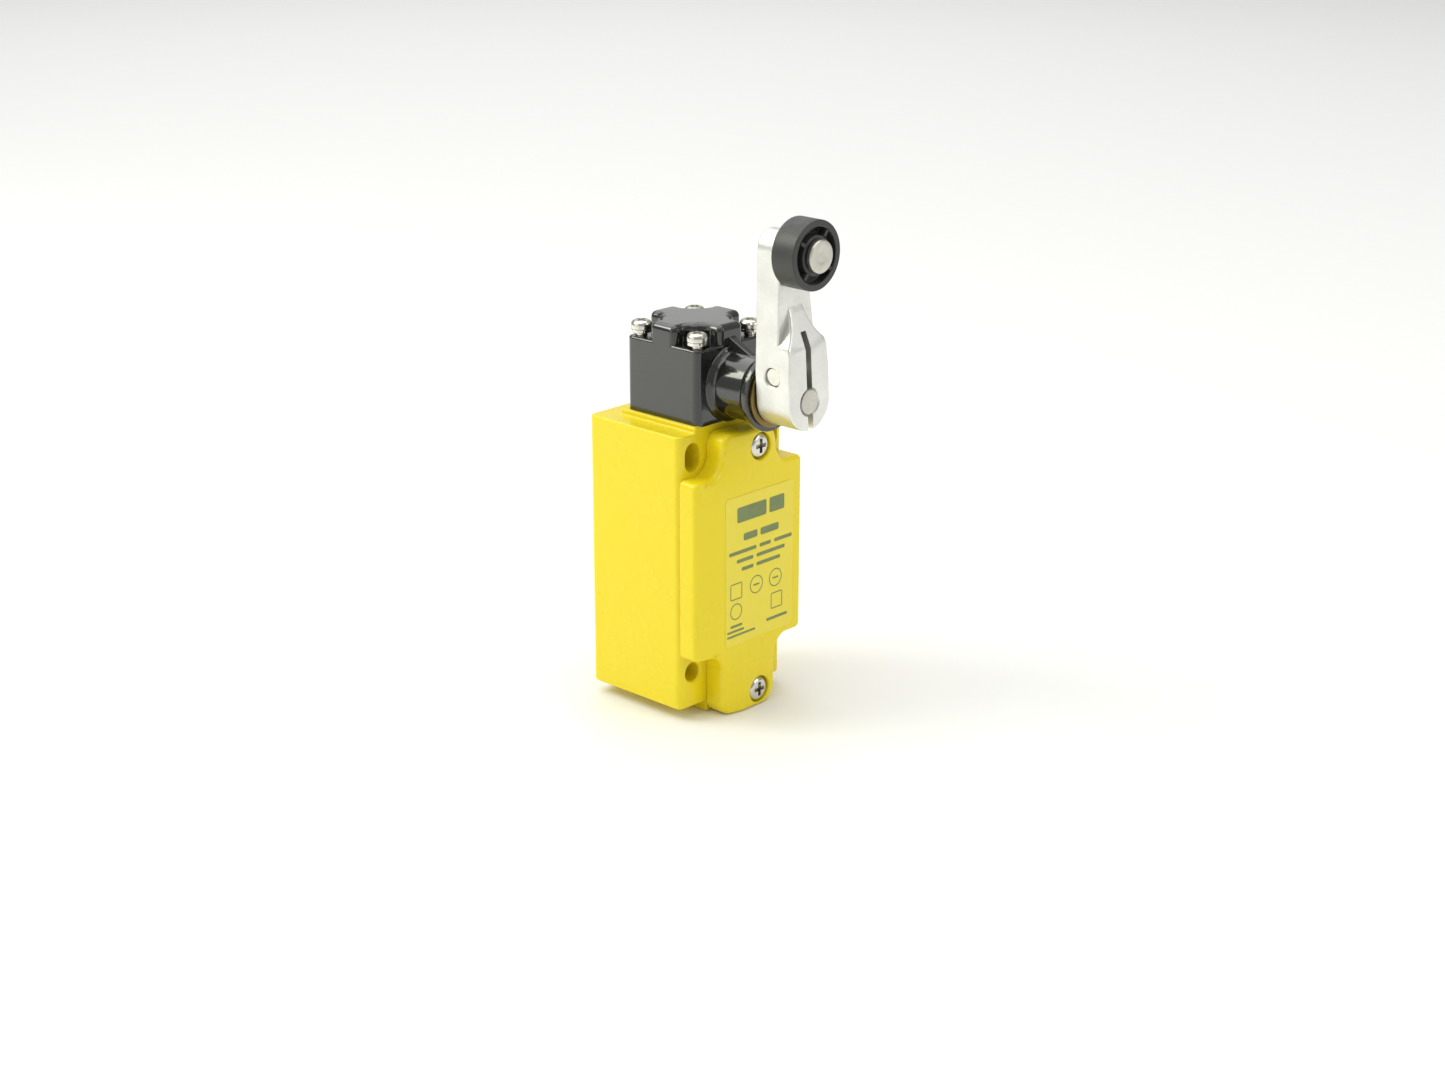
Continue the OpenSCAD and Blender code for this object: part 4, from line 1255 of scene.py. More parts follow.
    def _round_front(self, plate: bpy.types.Object) -> None:
        """Rounds the front rim where faces meet at more than 30 degrees, and breaks the back rim.

        Args:
            plate: The cover before its holes are cut.
        """
        back = self.layout.cover[1].y
        rounding = plate.modifiers.new("Front rounding", "BEVEL")
        rounding.width = self.rounding
        rounding.segments = 5
        rounding.limit_method = "WEIGHT"
        rounding.use_clamp_overlap = False
        plate.data.attributes.new("bevel_weight_edge", "FLOAT", "EDGE")
        mesh = bmesh.new()
        mesh.from_mesh(plate.data)
        layer = mesh.edges.layers.float["bevel_weight_edge"]
        for edge in mesh.edges:
            at_back = all(abs(v.co.y - back) < ON_PLANE for v in edge.verts)
            if len(edge.link_faces) != 2 or at_back:
                continue
            angle = math.degrees(edge.calc_face_angle(0.0))
            edge[layer] = 1.0 if angle > 30 else 0.0
        mesh.to_mesh(plate.data)
        mesh.free()
        select_only(plate)
        bpy.ops.object.modifier_apply(modifier=rounding.name)
        bevel_edges(
            plate, lambda e: all(abs(v.co.y - back) < ON_PLANE for v in e.verts), self.back_edge, 2
        )


@dataclass
class MarkingFilm:
    """The thin film on the cover and its plain printed marks."""

    layout: Layout
    mark_t: float = 0.03 * MM
    line_w: float = 0.3 * MM
    bars: tuple[tuple[float, float, float, float], ...] = (
        (-5.8, 11.4, 11.4, 4.2), (6.8, 11.4, 5.9, 4.2),
        (-3.3, 6.0, 5.4, 2.0), (3.3, 6.0, 7.2, 2.0),
        (-8.9, 2.7, 10.6, 1.0), (3.0, 2.7, 4.4, 1.0), (8.8, 2.7, 7.0, 1.0),
        (-5.9, 0.2, 6.4, 1.0), (1.8, 0.2, 11.2, 1.0),
        (-4.0, -2.3, 4.6, 1.0), (1.8, -2.3, 9.4, 1.0),
        (0.6, -7.75, 2.4, 0.45), (8.2, -7.75, 2.4, 0.45),
        (-8.3, -17.6, 4.6, 0.7), (-9.6, -19.0, 6.6, 0.6), (-9.6, -20.3, 11.0, 0.6),
        (5.9, -19.3, 8.3, 0.8),
    )
    rings: tuple[tuple[float, float, float], ...] = (
        (1.8, -7.5, 2.55), (9.4, -7.5, 2.55), (-6.1, -13.2, 2.3),
    )
    frames: tuple[tuple[float, float, float], ...] = ((9.9, -14.0, 2.3), (-6.1, -7.5, 2.3))

    def _mark(self, x: float, z: float, w: float, h: float) -> bpy.types.Object:
        """Makes one printed bar with round corners from its lower left corner."""
        front = self.layout.film[0].y
        bar = add_block(
            "bar", (x * MM, front - self.mark_t, z * MM), ((x + w) * MM, front, (z + h) * MM)
        )
        return bevel_edges(bar, along(Axis.Y), min(h * 0.3, 0.5) * MM, 3)

    def _ring(self, x: float, z: float, r: float) -> bpy.types.Object:
        """Makes one printed circle line."""
        front = self.layout.film[0].y
        inner = r * MM - self.line_w
        stations = [(0, r * MM), (self.mark_t, r * MM), (self.mark_t, inner), (0, inner)]
        return turned("ring", stations, (x * MM, front, z * MM), (0, -1, 0), 48, hollow=True)

    def _frame(self, x: float, z: float, half: float) -> bpy.types.Object:
        """Makes one printed square line."""
        line = self.line_w / MM
        outer = self._mark(x - half, z - half, 2 * half, 2 * half)
        inner_half = half - line
        front = self.layout.film[0].y
        inner = add_block(
            "inner",
            ((x - inner_half) * MM, front - CUT, (z - inner_half) * MM),
            ((x + inner_half) * MM, front + CUT, (z + inner_half) * MM),
        )
        return combine(outer, [inner], Joining.CUT)

    def build(self) -> None:
        """Builds and dresses the film and its marks."""
        low, high = self.layout.film
        film = add_block("film", low, high)
        bevel_edges(film, along(Axis.Y), 1.2 * MM, 6)
        front = low.y + NEAR
        bevel_edges(film, lambda e: all(v.co.y < front for v in e.verts), 0.06 * MM, 2)
        place_piece(film, "cover_film", FILM, Body.CASE, "marking_film")
        marks = [self._mark(*bar) for bar in self.bars]
        marks += [self._ring(*ring) for ring in self.rings]
        marks += [self._frame(*square) for square in self.frames]
        place_piece(join("marks", marks), "printed_marks", INK, Body.CASE)


@dataclass
class RotaryHead:
    """The black head: square box, raised cross, round boss with its lip, and the web."""

    layout: Layout
    pad_h: float = 21.0 * MM
    cross_w: float = 9.2 * MM
    round_r: float = 9.3 * MM
    cross_edge: float = 1.8 * MM
    edge_r: float = 2.0 * MM
    boss_r: float = 8.8 * MM
    lip_r: float = 10.3 * MM
    lip_t: float = 1.8 * MM
    root_r: float = 10.3 * MM
    web_half: float = 1.3 * MM
    screw_seat_r: float = 3.2 * MM

    def _box(self) -> bpy.types.Object:
        """Makes the square box up to the screw pads."""
        low, high = self.layout.head
        back = 2 * self.layout.head_y - self.layout.joint_y
        box = add_block(
            "head", (low.x, self.layout.joint_y, low.z), (high.x, back, low.z + self.pad_h)
        )
        bevel_edges(box, along(Axis.Z), self.edge_r, 8)
        return soften(box, 0.7 * MM, 4)

    def _cross(self) -> bpy.types.Object:
        """Makes the raised cross with its round middle and soft edges."""
        low, high = self.layout.head
        y, front = self.layout.head_y, self.layout.joint_y
        back = 2 * y - front
        bottom, top, half = low.z + self.pad_h - 4 * MM, high.z, self.cross_w / 2
        cross = add_block("cross", (low.x, y - half, bottom), (high.x, y + half, top))
        other = add_block("other", (-half, front, bottom), (half, back, top))
        middle = add_bar("middle", self.round_r, (0, y, bottom), (0, y, top), 128)
        combine(cross, (other, middle), Joining.ADD)
        tidy_faces(cross)
        return soften(cross, self.cross_edge, 7, 24)

    def _boss(self) -> bpy.types.Object:
        """Makes the turned boss from the root ring to the flared lip."""
        front = self.layout.joint_y
        length = front - self.layout.head[0].y
        lip = length - self.lip_t
        stations = [
            (-1.4 * MM, self.root_r - 0.1 * MM), (0.2 * MM, self.root_r),
            (0.5 * MM, self.root_r - 0.12 * MM), (0.75 * MM, self.root_r - 0.45 * MM),
            (0.95 * MM, self.boss_r + 0.6 * MM), (1.3 * MM, self.boss_r + 0.25 * MM),
            (1.8 * MM, self.boss_r + 0.05 * MM), (2.3 * MM, self.boss_r),
            (lip - 2.2 * MM, self.boss_r), (lip - 1.2 * MM, self.boss_r + 0.25 * MM),
            (lip - 0.4 * MM, self.lip_r - 0.5 * MM), (lip, self.lip_r - 0.1 * MM),
            (lip + 0.3 * MM, self.lip_r), (length - 0.4 * MM, self.lip_r),
            (length - 0.1 * MM, self.lip_r - 0.12 * MM), (length, self.lip_r - 0.4 * MM),
        ]
        axis = self.layout.shaft_axis
        return turned("boss", stations, (axis.x, front, axis.z), (0, -1, 0), 128)

    def _web(self) -> bpy.types.Object:
        """Makes the thin web that runs from the cross down to the boss."""
        top, front = self.layout.head[1].z - 1.6 * MM, self.layout.joint_y
        axis_z = self.layout.shaft_axis.z
        tip = front - 8.6 * MM
        web = add_block(
            "web", (-self.web_half, tip, axis_z), (self.web_half, front + 3.6 * MM, top)
        )
        drop = top - (axis_z + self.boss_r - 0.4 * MM)
        pull(web, lambda p: p.y < tip + NEAR and p.z > top - NEAR, (0, 0, -drop))
        return soften(web, 0.35 * MM, 3)

    def _tools(self) -> list[bpy.types.Object]:
        """Makes the tools for the hollow, the bushing bore and the screw holes."""
        low, _ = self.layout.head
        y, top = self.layout.head_y, low.z + self.pad_h - 2 * MM
        axis = self.layout.shaft_axis
        boss_y = self.layout.head[0].y
        tools = [
            add_block("hollow", (-10.4 * MM, y - 6 * MM, low.z - CUT), (10.4 * MM, y + 6 * MM, top)),
            add_block("hollow", (-6 * MM, y - 9 * MM, low.z - CUT), (6 * MM, y + 8 * MM, top)),
            add_bar("bushing_bore", 5.5 * MM, (0, y - 8 * MM, axis.z), (0, boss_y - CUT, axis.z)),
            add_bar("seal_bore", 6.4 * MM, (0, boss_y + 1.3 * MM, axis.z), (0, boss_y - CUT, axis.z)),
            add_bar("pivot_bore", 2.55 * MM, (0, y + 11.3 * MM, axis.z), (0, y + 7 * MM, axis.z), 48),
        ]
        pad, hole_r = low.z + self.pad_h, 1.75 * MM
        stations = [
            (-CUT, hole_r), (self.pad_h, hole_r),
            (self.pad_h, self.screw_seat_r), (self.pad_h + 6 * MM, self.screw_seat_r),
        ]
        for x, at_y in head_screw_spots():
            spot = (x, at_y, pad - self.pad_h)
            tools.append(turned("screw_hole", stations, spot, (0, 0, 1), 56))
        return tools

    def build(self) -> bpy.types.Object:
        """Builds and dresses the head.

        Returns:
            The head piece.
        """
        low = self.layout.head[0]
        front = self.layout.joint_y
        head = combine(self._box(), (self._cross(), self._boss(), self._web()), Joining.ADD)
        flat = add_block("flat", (-FAR, front - 5 * MM, low.z - 6 * MM), (FAR, front + 1.5 * MM, low.z))
        combine(head, [*self._tools(), flat], Joining.CUT)
        merge_close(head)
        return place_piece(head, "head_casting", HEAD_PAINT, Body.CASE, "head")


@dataclass
class Fasteners:
    """The screws and spring washers that hold the head and the cover."""

    layout: Layout

    def _pan_screw(
        self, name: str, head_r: float, head_h: float, thread_r: float, length: float,
        pitch: float, seat: Sequence[float], direction: Sequence[float],
    ) -> bpy.types.Object:
        """Turns a pan head screw with thread rings and a cross recess.

        Args:
            name: Name of the screw.
            head_r: Radius of the head.
            head_h: Height of the head.
            thread_r: Outer radius of the thread.
            length: Length under the head.
            pitch: Distance between thread rings.
            seat: Middle of the head's underside.
            direction: Direction that the head points in.

        Returns:
            The screw.
        """
        root = thread_r - pitch * 0.3
        stations = [(-length, root * 0.8), (-length + pitch * 0.6, root)]
        threaded = min(length * 0.6, 9 * MM)
        for turn in range(int(threaded / pitch) - 1):
            start = -length + (turn + 1) * pitch
            stations += [(start, root), (start + pitch * 0.5, thread_r)]
        stations += [(-length + threaded, root), (-length + threaded + 0.2 * MM, thread_r)]
        stations += [(-0.1 * MM, thread_r), (0.0, head_r - 0.25 * MM), (0.15 * MM, head_r)]
        stations.append((head_h * 0.45, head_r))
        for step in range(1, 7):
            bend = math.radians(90) * step / 7
            stations.append((
                head_h * (0.45 + 0.55 * math.sin(bend)), head_r * (0.55 + 0.45 * math.cos(bend)),
            ))
        stations.append((head_h, head_r * 0.5))
        screw = turned(name, stations, seat, direction, 56)
        top = Vector(seat) + Vector(direction) * head_h
        tool = cross_tool("driver", head_r * 1.32, head_h * 0.66, top, direction)
        return combine(screw, [tool], Joining.CUT)

    def _washer(self, seat: Sequence[float], height: float) -> bpy.types.Object:
        """Turns a spring washer and cuts its split.

        Args:
            seat: Middle of its underside.
            height: Height of the washer.

        Returns:
            The washer.
        """
        out, bore, edge = 2.7 * MM, 1.75 * MM, 0.1 * MM
        stations = [
            (0, out - edge), (edge, out), (height - edge, out), (height, out - edge),
            (height, bore + edge), (height - edge, bore), (edge, bore), (0, bore + edge),
        ]
        washer = turned("washer", stations, seat, (0, 0, 1), 56, hollow=True)
        split = add_block("split", (-0.25 * MM, -4 * MM, -CUT), (0.25 * MM, -1 * MM, height + CUT))
        turn = Matrix.Rotation(math.radians(-35), 4, "Z") @ Matrix.Rotation(math.radians(18), 4, "Y")
        split.matrix_world = Matrix.Translation(Vector(seat)) @ turn
        settle(split)
        return combine(washer, [split], Joining.CUT)

    def build(self) -> None:
        """Builds and dresses the head screws, their washers and the cover screws."""
        low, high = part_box("head_screws")
        washers_low, washers_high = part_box("spring_washers")
        head_r = HEAD_SCREW_R
        x, y, seat_z = low.x + head_r, low.y + head_r, washers_high.z
        height = washers_high.z - washers_low.z
        screw = self._pan_screw(
            "head_screw", head_r, high.z - seat_z, 1.5 * MM, seat_z - low.z, 0.5 * MM,
            (x, y, seat_z), (0, 0, 1),
        )
        washer = self._washer((x, y, washers_low.z), height)
        step_x, step_y = high.x - low.x - 2 * head_r, high.y - low.y - 2 * head_r
        shifts = [(i * step_x, j * step_y, 0) for i in (0, 1) for j in (0, 1)]
        screws = [copy_to(screw, "head_screw", s) for s in shifts[1:]]
        washers = [copy_to(washer, "washer", s) for s in shifts[1:]]
        place_piece(join("s", [screw, *screws]), "head_fixing_screws", NICKEL, Body.CASE, "head_screws")
        place_piece(join("w", [washer, *washers]), "split_washers", NICKEL, Body.CASE, "spring_washers")
        low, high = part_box("cover_screws")
        head_r, head_h = COVER_SCREW_R, 2.5 * MM
        centre_x = (low.x + high.x) / 2
        seat_y = low.y + head_h
        screw = self._pan_screw(
            "cover_screw", head_r, head_h, 2 * MM, high.y - seat_y, 0.7 * MM,
            (centre_x, seat_y, low.z + head_r), (0, -1, 0),
        )
        twin = copy_to(screw, "cover_screw", (0, 0, high.z - low.z - 2 * head_r))
        place_piece(join("c", [screw, twin]), "cover_fixing_screws", NICKEL, Body.CASE, "cover_screws")


@dataclass
class ShaftEnd:
    """The operating shaft with its knurled end, and the brass thrust ring."""

    layout: Layout
    shaft_r: float = 3.5 * MM
    pivot_r: float = 2.5 * MM
    pivot_len: float = 3.3 * MM
    groove: float = 0.5 * MM
    teeth: int = 48

    def _shaft(self) -> bpy.types.Object:
        """Turns the shaft, with its pivot, circlip groove and knurled front end."""
        low, high = self.layout.shaft
        clip_low, clip_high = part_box("shaft_circlip")
        knurl = high.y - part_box("lever")[1].y - 0.3 * MM
        end = high.y - low.y
        clip = (high.y - clip_high.y, high.y - clip_low.y)
        radius, groove_r = self.shaft_r, self.shaft_r - self.groove
        stations = [
            (0, self.pivot_r - 0.3 * MM), (0.3 * MM, self.pivot_r), (self.pivot_len, self.pivot_r),
            (self.pivot_len, radius - 0.2 * MM), (self.pivot_len + 0.2 * MM, radius),
            (clip[0], radius), (clip[0], groove_r), (clip[1], groove_r), (clip[1], radius),
            (knurl, radius), (knurl + 0.2 * MM, radius), (end - 0.35 * MM, radius),
            (end, radius - 0.3 * MM),
        ]
        axis = self.layout.shaft_axis
        shaft = turned("shaft", stations, (axis.x, high.y, axis.z), (0, -1, 0), self.teeth * 3)
        select_only(shaft)
        bpy.ops.object.mode_set(mode="EDIT")
        bpy.ops.mesh.select_mode(type="VERT")
        bpy.ops.mesh.select_all(action="DESELECT")
        mesh = bmesh.from_edit_mesh(shaft.data)
        start = high.y - knurl - 0.1 * MM
        for vertex in mesh.verts:
            turn = math.atan2(vertex.co.z - axis.z, vertex.co.x - axis.x) / math.tau
            step = round(turn * self.teeth * 3) % 3
            vertex.select_set(vertex.co.y < start and step == 0)
        mesh.select_flush(True)
        bmesh.update_edit_mesh(shaft.data)
        bpy.ops.transform.resize(value=(0.925, 1, 0.925), center_override=(axis.x, 0, axis.z))
        bpy.ops.object.mode_set(mode="OBJECT")
        return shaft

    def build(self) -> None:
        """Builds and dresses the shaft and the thrust ring."""
        place_piece(self._shaft(), "operating_shaft", SHAFT_STEEL, Body.LEVER, "shaft")
        low, high = self.layout.ring
        out, bore, edge = (high.x - low.x) / 2, self.shaft_r + 0.05 * MM, 0.15 * MM
        thick = high.y - low.y
        stations = [
            (0, out - edge), (edge, out), (thick - edge, out), (thick, out - edge),
            (thick, bore + edge), (thick - edge, bore), (edge, bore), (0, bore + edge),
        ]
        axis = self.layout.shaft_axis
        ring = turned("ring", stations, (axis.x, high.y, axis.z), (0, -1, 0), 96, hollow=True)
        place_piece(ring, "thrust_ring_turned", RING_BRASS, Body.CASE, "thrust_ring")


@dataclass
class ClampLever:
    """The cast lever: arm, clamping block with its slot, and the clamping screw."""

    layout: Layout
    arm_t: float = 7.7 * MM
    foot_r: float = 7.65 * MM
    end_r: float = 5.0 * MM
    straight: float = 8.0 * MM
    shoulder: float = 14.1 * MM
    slope_end: float = 25.0 * MM
    rib_half: float = 2.8 * MM
    scoop_r: float = 12.7 * MM
    slot_half: float = 1.0 * MM
    slot_end: float = 18.5 * MM
    screw_rise: float = 7.4 * MM
    screw_back: float = 5.9 * MM
    screw_r: float = 2.5 * MM
    screw_head_r: float = 4.25 * MM
    screw_head_len: float = 4.6 * MM
    chamfer: float = 0.5 * MM

    @property
    def back_y(self) -> float:
        """Plane of the lever's back."""
        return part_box("lever")[1].y

    @property
    def front_y(self) -> float:
        """Plane of the clamping block's front."""
        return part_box("lever")[0].y

    def _outline(self, name: str, front: float, back: float) -> bpy.types.Object:
        """Makes a plate with the lever's tapered outline, its round foot and its round end.

        Args:
            name: Name of the plate.
            front: Plane of its front.
            back: Plane of its back.

        Returns:
            The plate.
        """
        base = self.layout.shaft_axis.z
        plate = add_block(name, (-self.foot_r, front, base), (self.foot_r, back, base + self.straight))
        select_only(plate)
        bpy.ops.object.mode_set(mode="EDIT")
        bpy.ops.mesh.select_mode(type="FACE")
        bpy.ops.mesh.select_all(action="DESELECT")
        mesh = bmesh.from_edit_mesh(plate.data)
        for face in mesh.faces:
            face.select_set(face.normal.z > 0.9)
        bmesh.update_edit_mesh(plate.data)
        rise = self.layout.lever_len - self.straight
        bpy.ops.mesh.extrude_region_move(TRANSFORM_OT_translate={"value": (0, 0, rise)})
        share = self.end_r / self.foot_r
        bpy.ops.transform.resize(value=(share, 1, 1), center_override=(0, front, base))
        bpy.ops.object.mode_set(mode="OBJECT")
        top = base + self.layout.lever_len
        foot = add_bar("foot", self.foot_r, (0, back, base), (0, front, base), 128)
        end = add_bar("end", self.end_r, (0, back, top), (0, front, top), 128)
        return tidy_faces(combine(plate, (foot, end), Joining.ADD))

    def _block(self) -> bpy.types.Object:
        """Makes the clamping block with its sloping top and its two scoops."""
        base, arm_y = self.layout.shaft_axis.z, self.back_y - self.arm_t
        block = self._outline("block", self.front_y, arm_y + CUT)
        slope = (self.slope_end - self.shoulder) / (arm_y - self.front_y)
        low_y, high_y = self.front_y - CUT, arm_y + 2 * CUT
        start = base + self.shoulder - slope * CUT
        wedge = add_block("wedge", (-FAR, low_y, start), (FAR, high_y, start + 2 * FAR))
        rise = slope * (high_y - low_y)
        pull(wedge, lambda p: p.y > high_y - NEAR and p.z < start + NEAR, (0, 0, rise))
        tools = [wedge]
        for side in (-1, 1):
            x, z = side * (self.rib_half + self.scoop_r), base + self.slope_end
            tools.append(add_bar("scoop", self.scoop_r, (x, high_y, z), (x, low_y, z), 160))
        return tidy_faces(combine(block, tools, Joining.CUT))

    def _tools(self) -> list[bpy.types.Object]:
        """Makes the tools for the bore, the slot, the pin hole and the screw hole."""
        base = self.layout.shaft_axis.z
        top = base + self.layout.lever_len
        back, front = self.back_y, self.front_y
        bore_r, pin_r, flare = 3.5 * MM, 2.5 * MM, 0.35 * MM
        deep = back - front
        bore = turned(
            "bore",
            [(-CUT, bore_r + CUT + flare), (flare, bore_r), (deep - flare, bore_r),
             (deep + CUT, bore_r + CUT + flare)],
            (0, back, base), (0, -1, 0), 144,
        )
        slot = add_block(
            "slot",
            (-self.slot_half, front - CUT, base - 0.02),
            (self.slot_half, back + CUT, base + self.slot_end),
        )
        bevel_edges(slot, along(Axis.Y, lambda p: p.z > base), 0.2 * MM, 3)
        pin = turned(
            "pin_hole",
            [(-CUT, pin_r + 1.2 * MM), (0, pin_r + 1.2 * MM), (1.2 * MM, pin_r), (deep, pin_r)],
            (0, back, top), (0, -1, 0), 72,
        )
        y, z, half = back - self.screw_back, base + self.screw_rise, self.foot_r
        tapped_r, loose_r = self.screw_r + 0.05 * MM, self.screw_r + 0.25 * MM
        seat, sunk_r = 2 * half - self.screw_head_len, self.screw_head_r + 0.25 * MM
        screw = turned(
            "screw_hole",
            [(-CUT, self.screw_r + 0.35 * MM + CUT), (0.3 * MM, tapped_r),
             (half, tapped_r), (half, loose_r), (seat, loose_r), (seat, sunk_r),
             (2 * half + CUT, sunk_r)],
            (-half, y, z), (1, 0, 0), 72,
        )
        return [bore, slot, pin, screw]

    def _clamp_screw(self) -> bpy.types.Object:
        """Turns the clamping screw and cuts its hexagon socket."""
        base, half = self.layout.shaft_axis.z, self.foot_r
        y, z = self.back_y - self.screw_back, base + self.screw_rise
        end_gap, pitch = 0.7 * MM, 0.8 * MM
        seat = 2 * half - self.screw_head_len
        root = self.screw_r - 0.3 * MM
        stations = [(end_gap, root), (end_gap + 0.4 * MM, self.screw_r)]
        for turn in range(7):
            start = end_gap + (turn + 1) * pitch
            stations += [(start, root), (start + pitch / 2, self.screw_r)]
        top = 2 * half - 0.4 * MM
        stations += [
            (seat, self.screw_r), (seat, self.screw_head_r), (top - 0.5 * MM, self.screw_head_r),
            (top - 0.15 * MM, self.screw_head_r - 0.12 * MM), (top, self.screw_head_r - 0.5 * MM),
        ]
        screw = turned("clamp_screw", stations, (-half, y, z), (1, 0, 0), 72)
        socket_r = 4 * MM / math.cos(math.radians(30)) / 2
        socket = turned(
            "socket",
            [(0, 0.2 * MM), (0.5 * MM, socket_r), (2.1 * MM, socket_r), (4 * MM, socket_r)],
            (half - 2.9 * MM, y, z), (1, 0, 0), 6,
        )
        return combine(screw, [socket], Joining.CUT)

    def build(self) -> None:
        """Builds and dresses the lever and its clamping screw."""
        arm_y = self.back_y - self.arm_t
        arm = soften(self._outline("arm", arm_y, self.back_y), self.chamfer, 4, 26)
        block = soften(self._block(), self.chamfer, 4, 26)
        lever = combine(arm, [block], Joining.ADD)
        combine(lever, self._tools(), Joining.CUT)
        merge_close(lever)
        place_piece(self.layout.lean(lever), "cast_lever", LEVER_ALLOY, Body.LEVER, "lever")
        screw = self.layout.lean(self._clamp_screw())
        place_piece(screw, "lever_clamp_screw", NICKEL, Body.LEVER, "clamp_screw")


@dataclass
class TrackRoller:
    """The moulded roller with its spokes, and the headed pin that carries it."""

    layout: Layout
    radius: float = 9.0 * MM
    rim_t: float = 1.8 * MM
    recess: float = 2.6 * MM
    hub_r: float = 5.2 * MM
    bore_r: float = 2.55 * MM
    spoke_half: float = 0.5 * MM
    spoke_turn: float = 40.0
    pin_r: float = 2.5 * MM
    pin_head_r: float = 4.3 * MM

    def _wheel(self) -> bpy.types.Object:
        """Turns the rim, web and hub, and adds the spokes on both sides."""
        low, high = self.layout.roller
        width = high.y - low.y
        centre = Vector((0, high.y, self.layout.shaft_axis.z + self.layout.lever_len))
        inner, web = self.radius - self.rim_t, self.recess
        stations = [
            (0, self.radius), (width, self.radius), (width, inner), (width - web, inner),
            (width - web, self.hub_r), (width, self.hub_r), (width, self.bore_r),
            (0.1 * MM, self.bore_r), (0.1 * MM, self.hub_r), (web, self.hub_r), (web, inner), (0, inner),
        ]
        wheel = turned("wheel", stations, centre, (0, -1, 0), 144, hollow=True)
        spokes = []
        for quarter in range(4):
            spoke = add_block(
                "spoke",
                (-self.spoke_half, low.y + 0.15 * MM, self.hub_r - 0.3 * MM),
                (self.spoke_half, high.y - 0.15 * MM, inner + 0.3 * MM),
            )
            turn = Matrix.Rotation(math.radians(self.spoke_turn + 90 * quarter), 4, "Y")
            spoke.matrix_world = Matrix.Translation((0, 0, centre.z)) @ turn
            settle(spoke)
            spokes.append(spoke)
        combine(wheel, spokes, Joining.ADD)
        tidy_faces(wheel)
        return soften(wheel, 0.32 * MM, 3)

    def _pin(self) -> bpy.types.Object:
        """Turns the headed pin, riveted over at the back."""
        low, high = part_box("roller_pin")
        length = high.y - low.y
        seat = length - 1.5 * MM
        stations = [
            (0, self.pin_r + 1.0 * MM), (0.2 * MM, self.pin_r + 1.0 * MM), (1.2 * MM, self.pin_r),
            (seat, self.pin_r), (seat, self.pin_head_r - 0.2 * MM), (seat + 0.2 * MM, self.pin_head_r),
        ]
        for step in range(6):
            bend = math.radians(90) * step / 5
            stations.append((
                length - 0.45 * MM * (1 - math.sin(bend)),
                self.pin_head_r - 0.45 * MM * (1 - math.cos(bend)),
            ))
        stations += [(length, 1.6 * MM), (length - 0.12 * MM, 1.2 * MM)]
        origin = (0, high.y, self.layout.shaft_axis.z + self.layout.lever_len)
        return turned("pin", stations, origin, (0, -1, 0), 96)

    def build(self) -> None:
        """Builds and dresses the roller and its pin."""
        wheel = self.layout.lean(self._wheel())
        place_piece(wheel, "moulded_roller", ROLLER_PLASTIC, Body.ROLLER, "roller")
        pin = self.layout.lean(self._pin())
        place_piece(pin, "riveted_roller_pin", PIN_STEEL, Body.LEVER, "roller_pin")


@dataclass
class InnerParts:
    """The frame's own meshes that stay as they are, under their finishes."""

    finishes: tuple[Finish, ...] = FINISHES

    def dress(self) -> None:
        """Gives every shown frame node the finish of its material slot."""
        by_slot = {finish.slot: finish for finish in self.finishes}
        slots = {row["node"]: row["material_slot"] for row in frame["record"]["subparts"]}
        for name, node in sorted(frame["nodes"].items()):
            if node.hide_render:
                continue
            material = by_slot[slots[name]].material()
            if node.material_slots:
                for slot in node.material_slots:
                    slot.material = material
            else:
                node.data.materials.append(material)
            LOG.info("%s: frame mesh in %s", name, material.name)


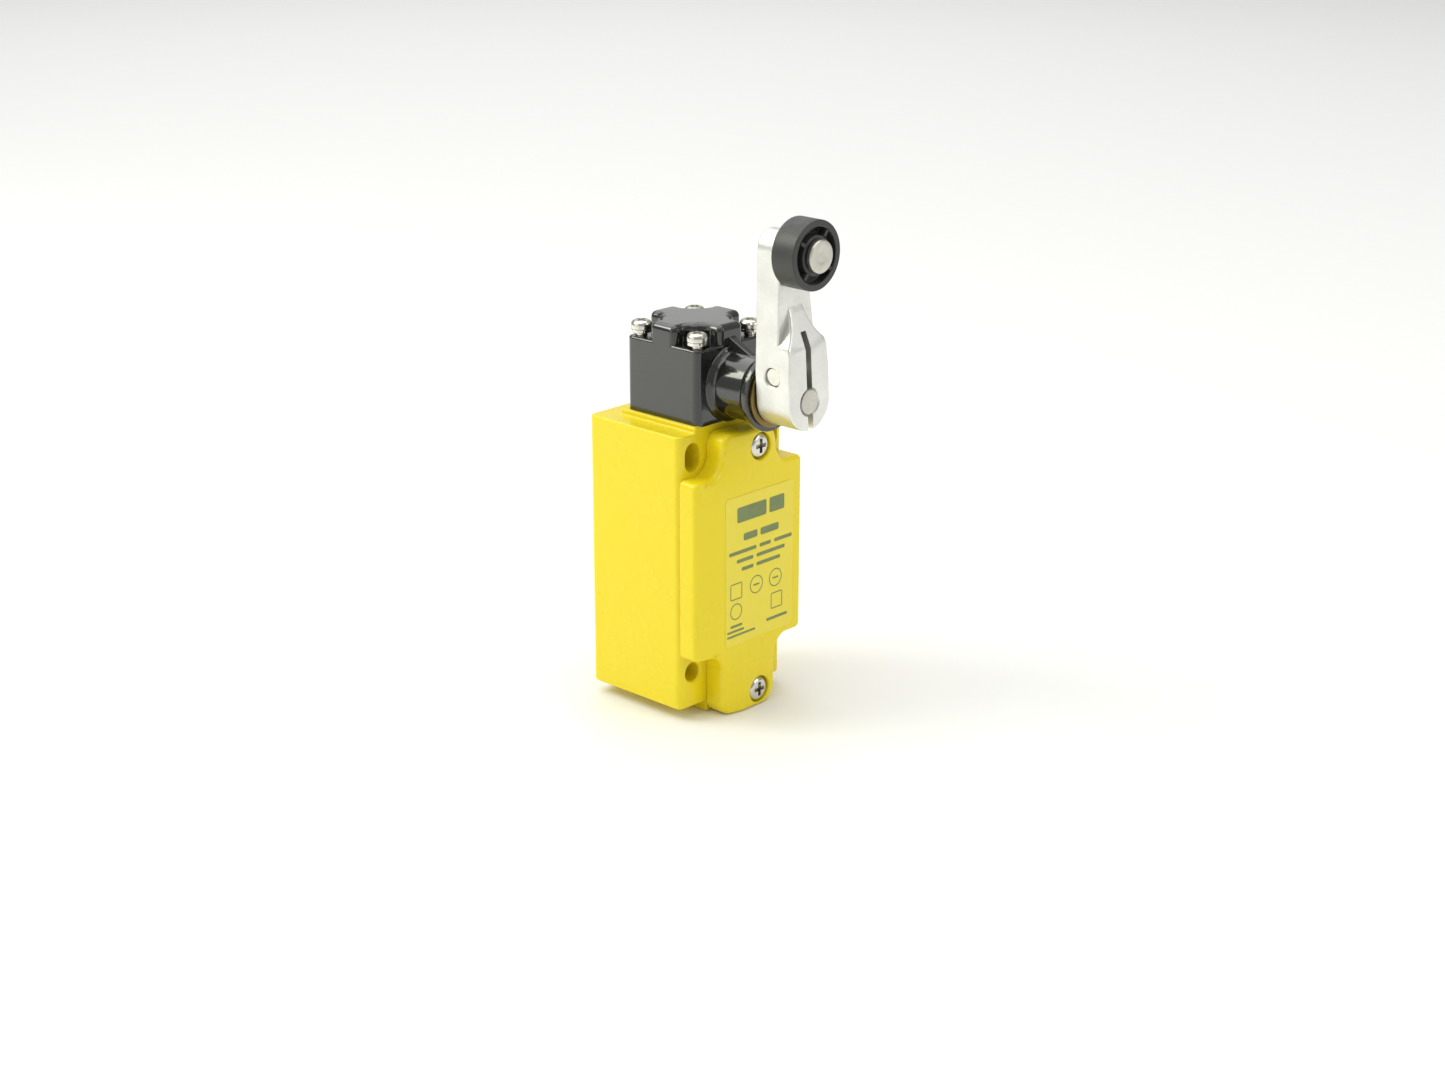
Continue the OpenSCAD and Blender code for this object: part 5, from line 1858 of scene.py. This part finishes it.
@dataclass
class Studio:
    """The pale floor, the soft lights and the camera."""

    floor_z: float
    camera_at: tuple[float, float, float] = (-0.4599, -0.4587, 0.2212)
    azimuth: float = -47.02
    elevation: float = 19.20
    roll: float = 0.10
    lens: float = 61.85

    def floor(self) -> None:
        """Makes the plain floor."""
        bpy.ops.object.select_all(action="DESELECT")
        bpy.ops.mesh.primitive_plane_add(size=6, location=(0, 0, self.floor_z - 0.05 * MM))
        floor = bpy.context.object
        floor.name = "studio_floor"
        paper = bpy.data.materials.new("pale_paper")
        paper.use_nodes = True
        wiring = Wiring(paper.node_tree)
        shader = paper.node_tree.nodes["Principled BSDF"]
        shader.inputs["Base Color"].default_value = (0.90, 0.90, 0.89, 1)
        shader.inputs["Roughness"].default_value = 0.7
        place = wiring.add("ShaderNodeTexCoord").outputs["Object"]
        bump = wiring.add("ShaderNodeBump")
        bump.inputs["Distance"].default_value = 0.02 * MM
        wiring.plug(wiring.noise(place, 900.0, 3.0), bump.inputs["Height"])
        wiring.plug(bump.outputs["Normal"], shader.inputs["Normal"])
        floor.data.materials.append(paper)

    def softbox(
        self, name: str, place: Sequence[float], size: float, power: float, tint: Sequence[float],
        aim: Sequence[float] = (0, -0.02, 0.02),
    ) -> None:
        """Adds a square softbox.

        Args:
            name: Name of the light.
            place: Where it stands, in metres.
            size: Length of its sides.
            power: Its power, in watts.
            tint: Its colour.
            aim: Point that it faces.
        """
        bpy.ops.object.light_add(type="AREA", location=place)
        light = bpy.context.object
        light.name = name
        light.data.shape = "SQUARE"
        light.data.size = size
        light.data.energy = power
        light.data.color = tint
        ray = Vector(aim) - Vector(place)
        light.rotation_euler = ray.to_track_quat("-Z", "Y").to_euler()

    def lights(self) -> None:
        """Makes the white surround and the softboxes."""
        world = bpy.data.worlds.new("white_studio")
        bpy.context.scene.world = world
        world.use_nodes = True
        surround = world.node_tree.nodes["Background"]
        surround.inputs["Color"].default_value = (1.0, 1.0, 0.995, 1)
        surround.inputs["Strength"].default_value = 0.40
        self.softbox("key_left", (-1.20, 0.25, 0.50), 1.0, 2.2, (0.99, 1.0, 0.94))
        self.softbox("left_floor", (-0.38, 0.36, 0.45), 0.3, 1.9, (0.98, 1.0, 0.85), (-0.27, 0.22, -0.04))
        self.softbox("top", (0.0, 0.4, 2.0), 3.0, 42.0, (1.0, 1.0, 0.99))
        self.softbox("back", (1.05, 1.05, 0.66), 0.8, 0.7, (1.0, 1.0, 0.95))
        self.softbox("front_fill", (0.50, -1.20, 0.60), 0.7, 4.0, (1.0, 0.99, 0.97))

    def camera(self) -> None:
        """Makes the camera at the wanted viewing angle."""
        side, rise, roll = (math.radians(a) for a in (self.azimuth, self.elevation, self.roll))
        back = Vector((
            math.sin(side) * math.cos(rise), -math.cos(side) * math.cos(rise), math.sin(rise),
        ))
        level = Vector((math.cos(side), math.sin(side), 0))
        upright = back.cross(level)
        right = level * math.cos(roll) + upright * math.sin(roll)
        up = upright * math.cos(roll) - level * math.sin(roll)
        bpy.ops.object.camera_add()
        camera = bpy.context.object
        camera.name = "studio_camera"
        turn = Matrix((right, up, back)).transposed().to_4x4()
        camera.matrix_world = Matrix.Translation(self.camera_at) @ turn
        camera.data.lens = self.lens
        camera.data.sensor_width = 36.0
        camera.data.clip_start, camera.data.clip_end = 0.01, 50.0
        bpy.context.scene.camera = camera

    def build(self) -> None:
        """Builds the whole studio."""
        self.floor()
        self.lights()
        self.camera()
        bpy.context.scene.view_settings.view_transform = "Standard"


def main() -> None:
    """Builds the switch piece by piece, then the studio round it."""
    logging.basicConfig(level=logging.INFO, format="%(name)s: %(message)s")
    make_shader_groups()
    layout = Layout()
    HousingShell(layout).build()
    FrontCover(layout).build()
    MarkingFilm(layout).build()
    RotaryHead(layout).build()
    Fasteners(layout).build()
    ShaftEnd(layout).build()
    ClampLever(layout).build()
    TrackRoller(layout).build()
    InnerParts().dress()
    Studio(layout.housing[0].z).build()


if __name__ == "__main__":
    main()
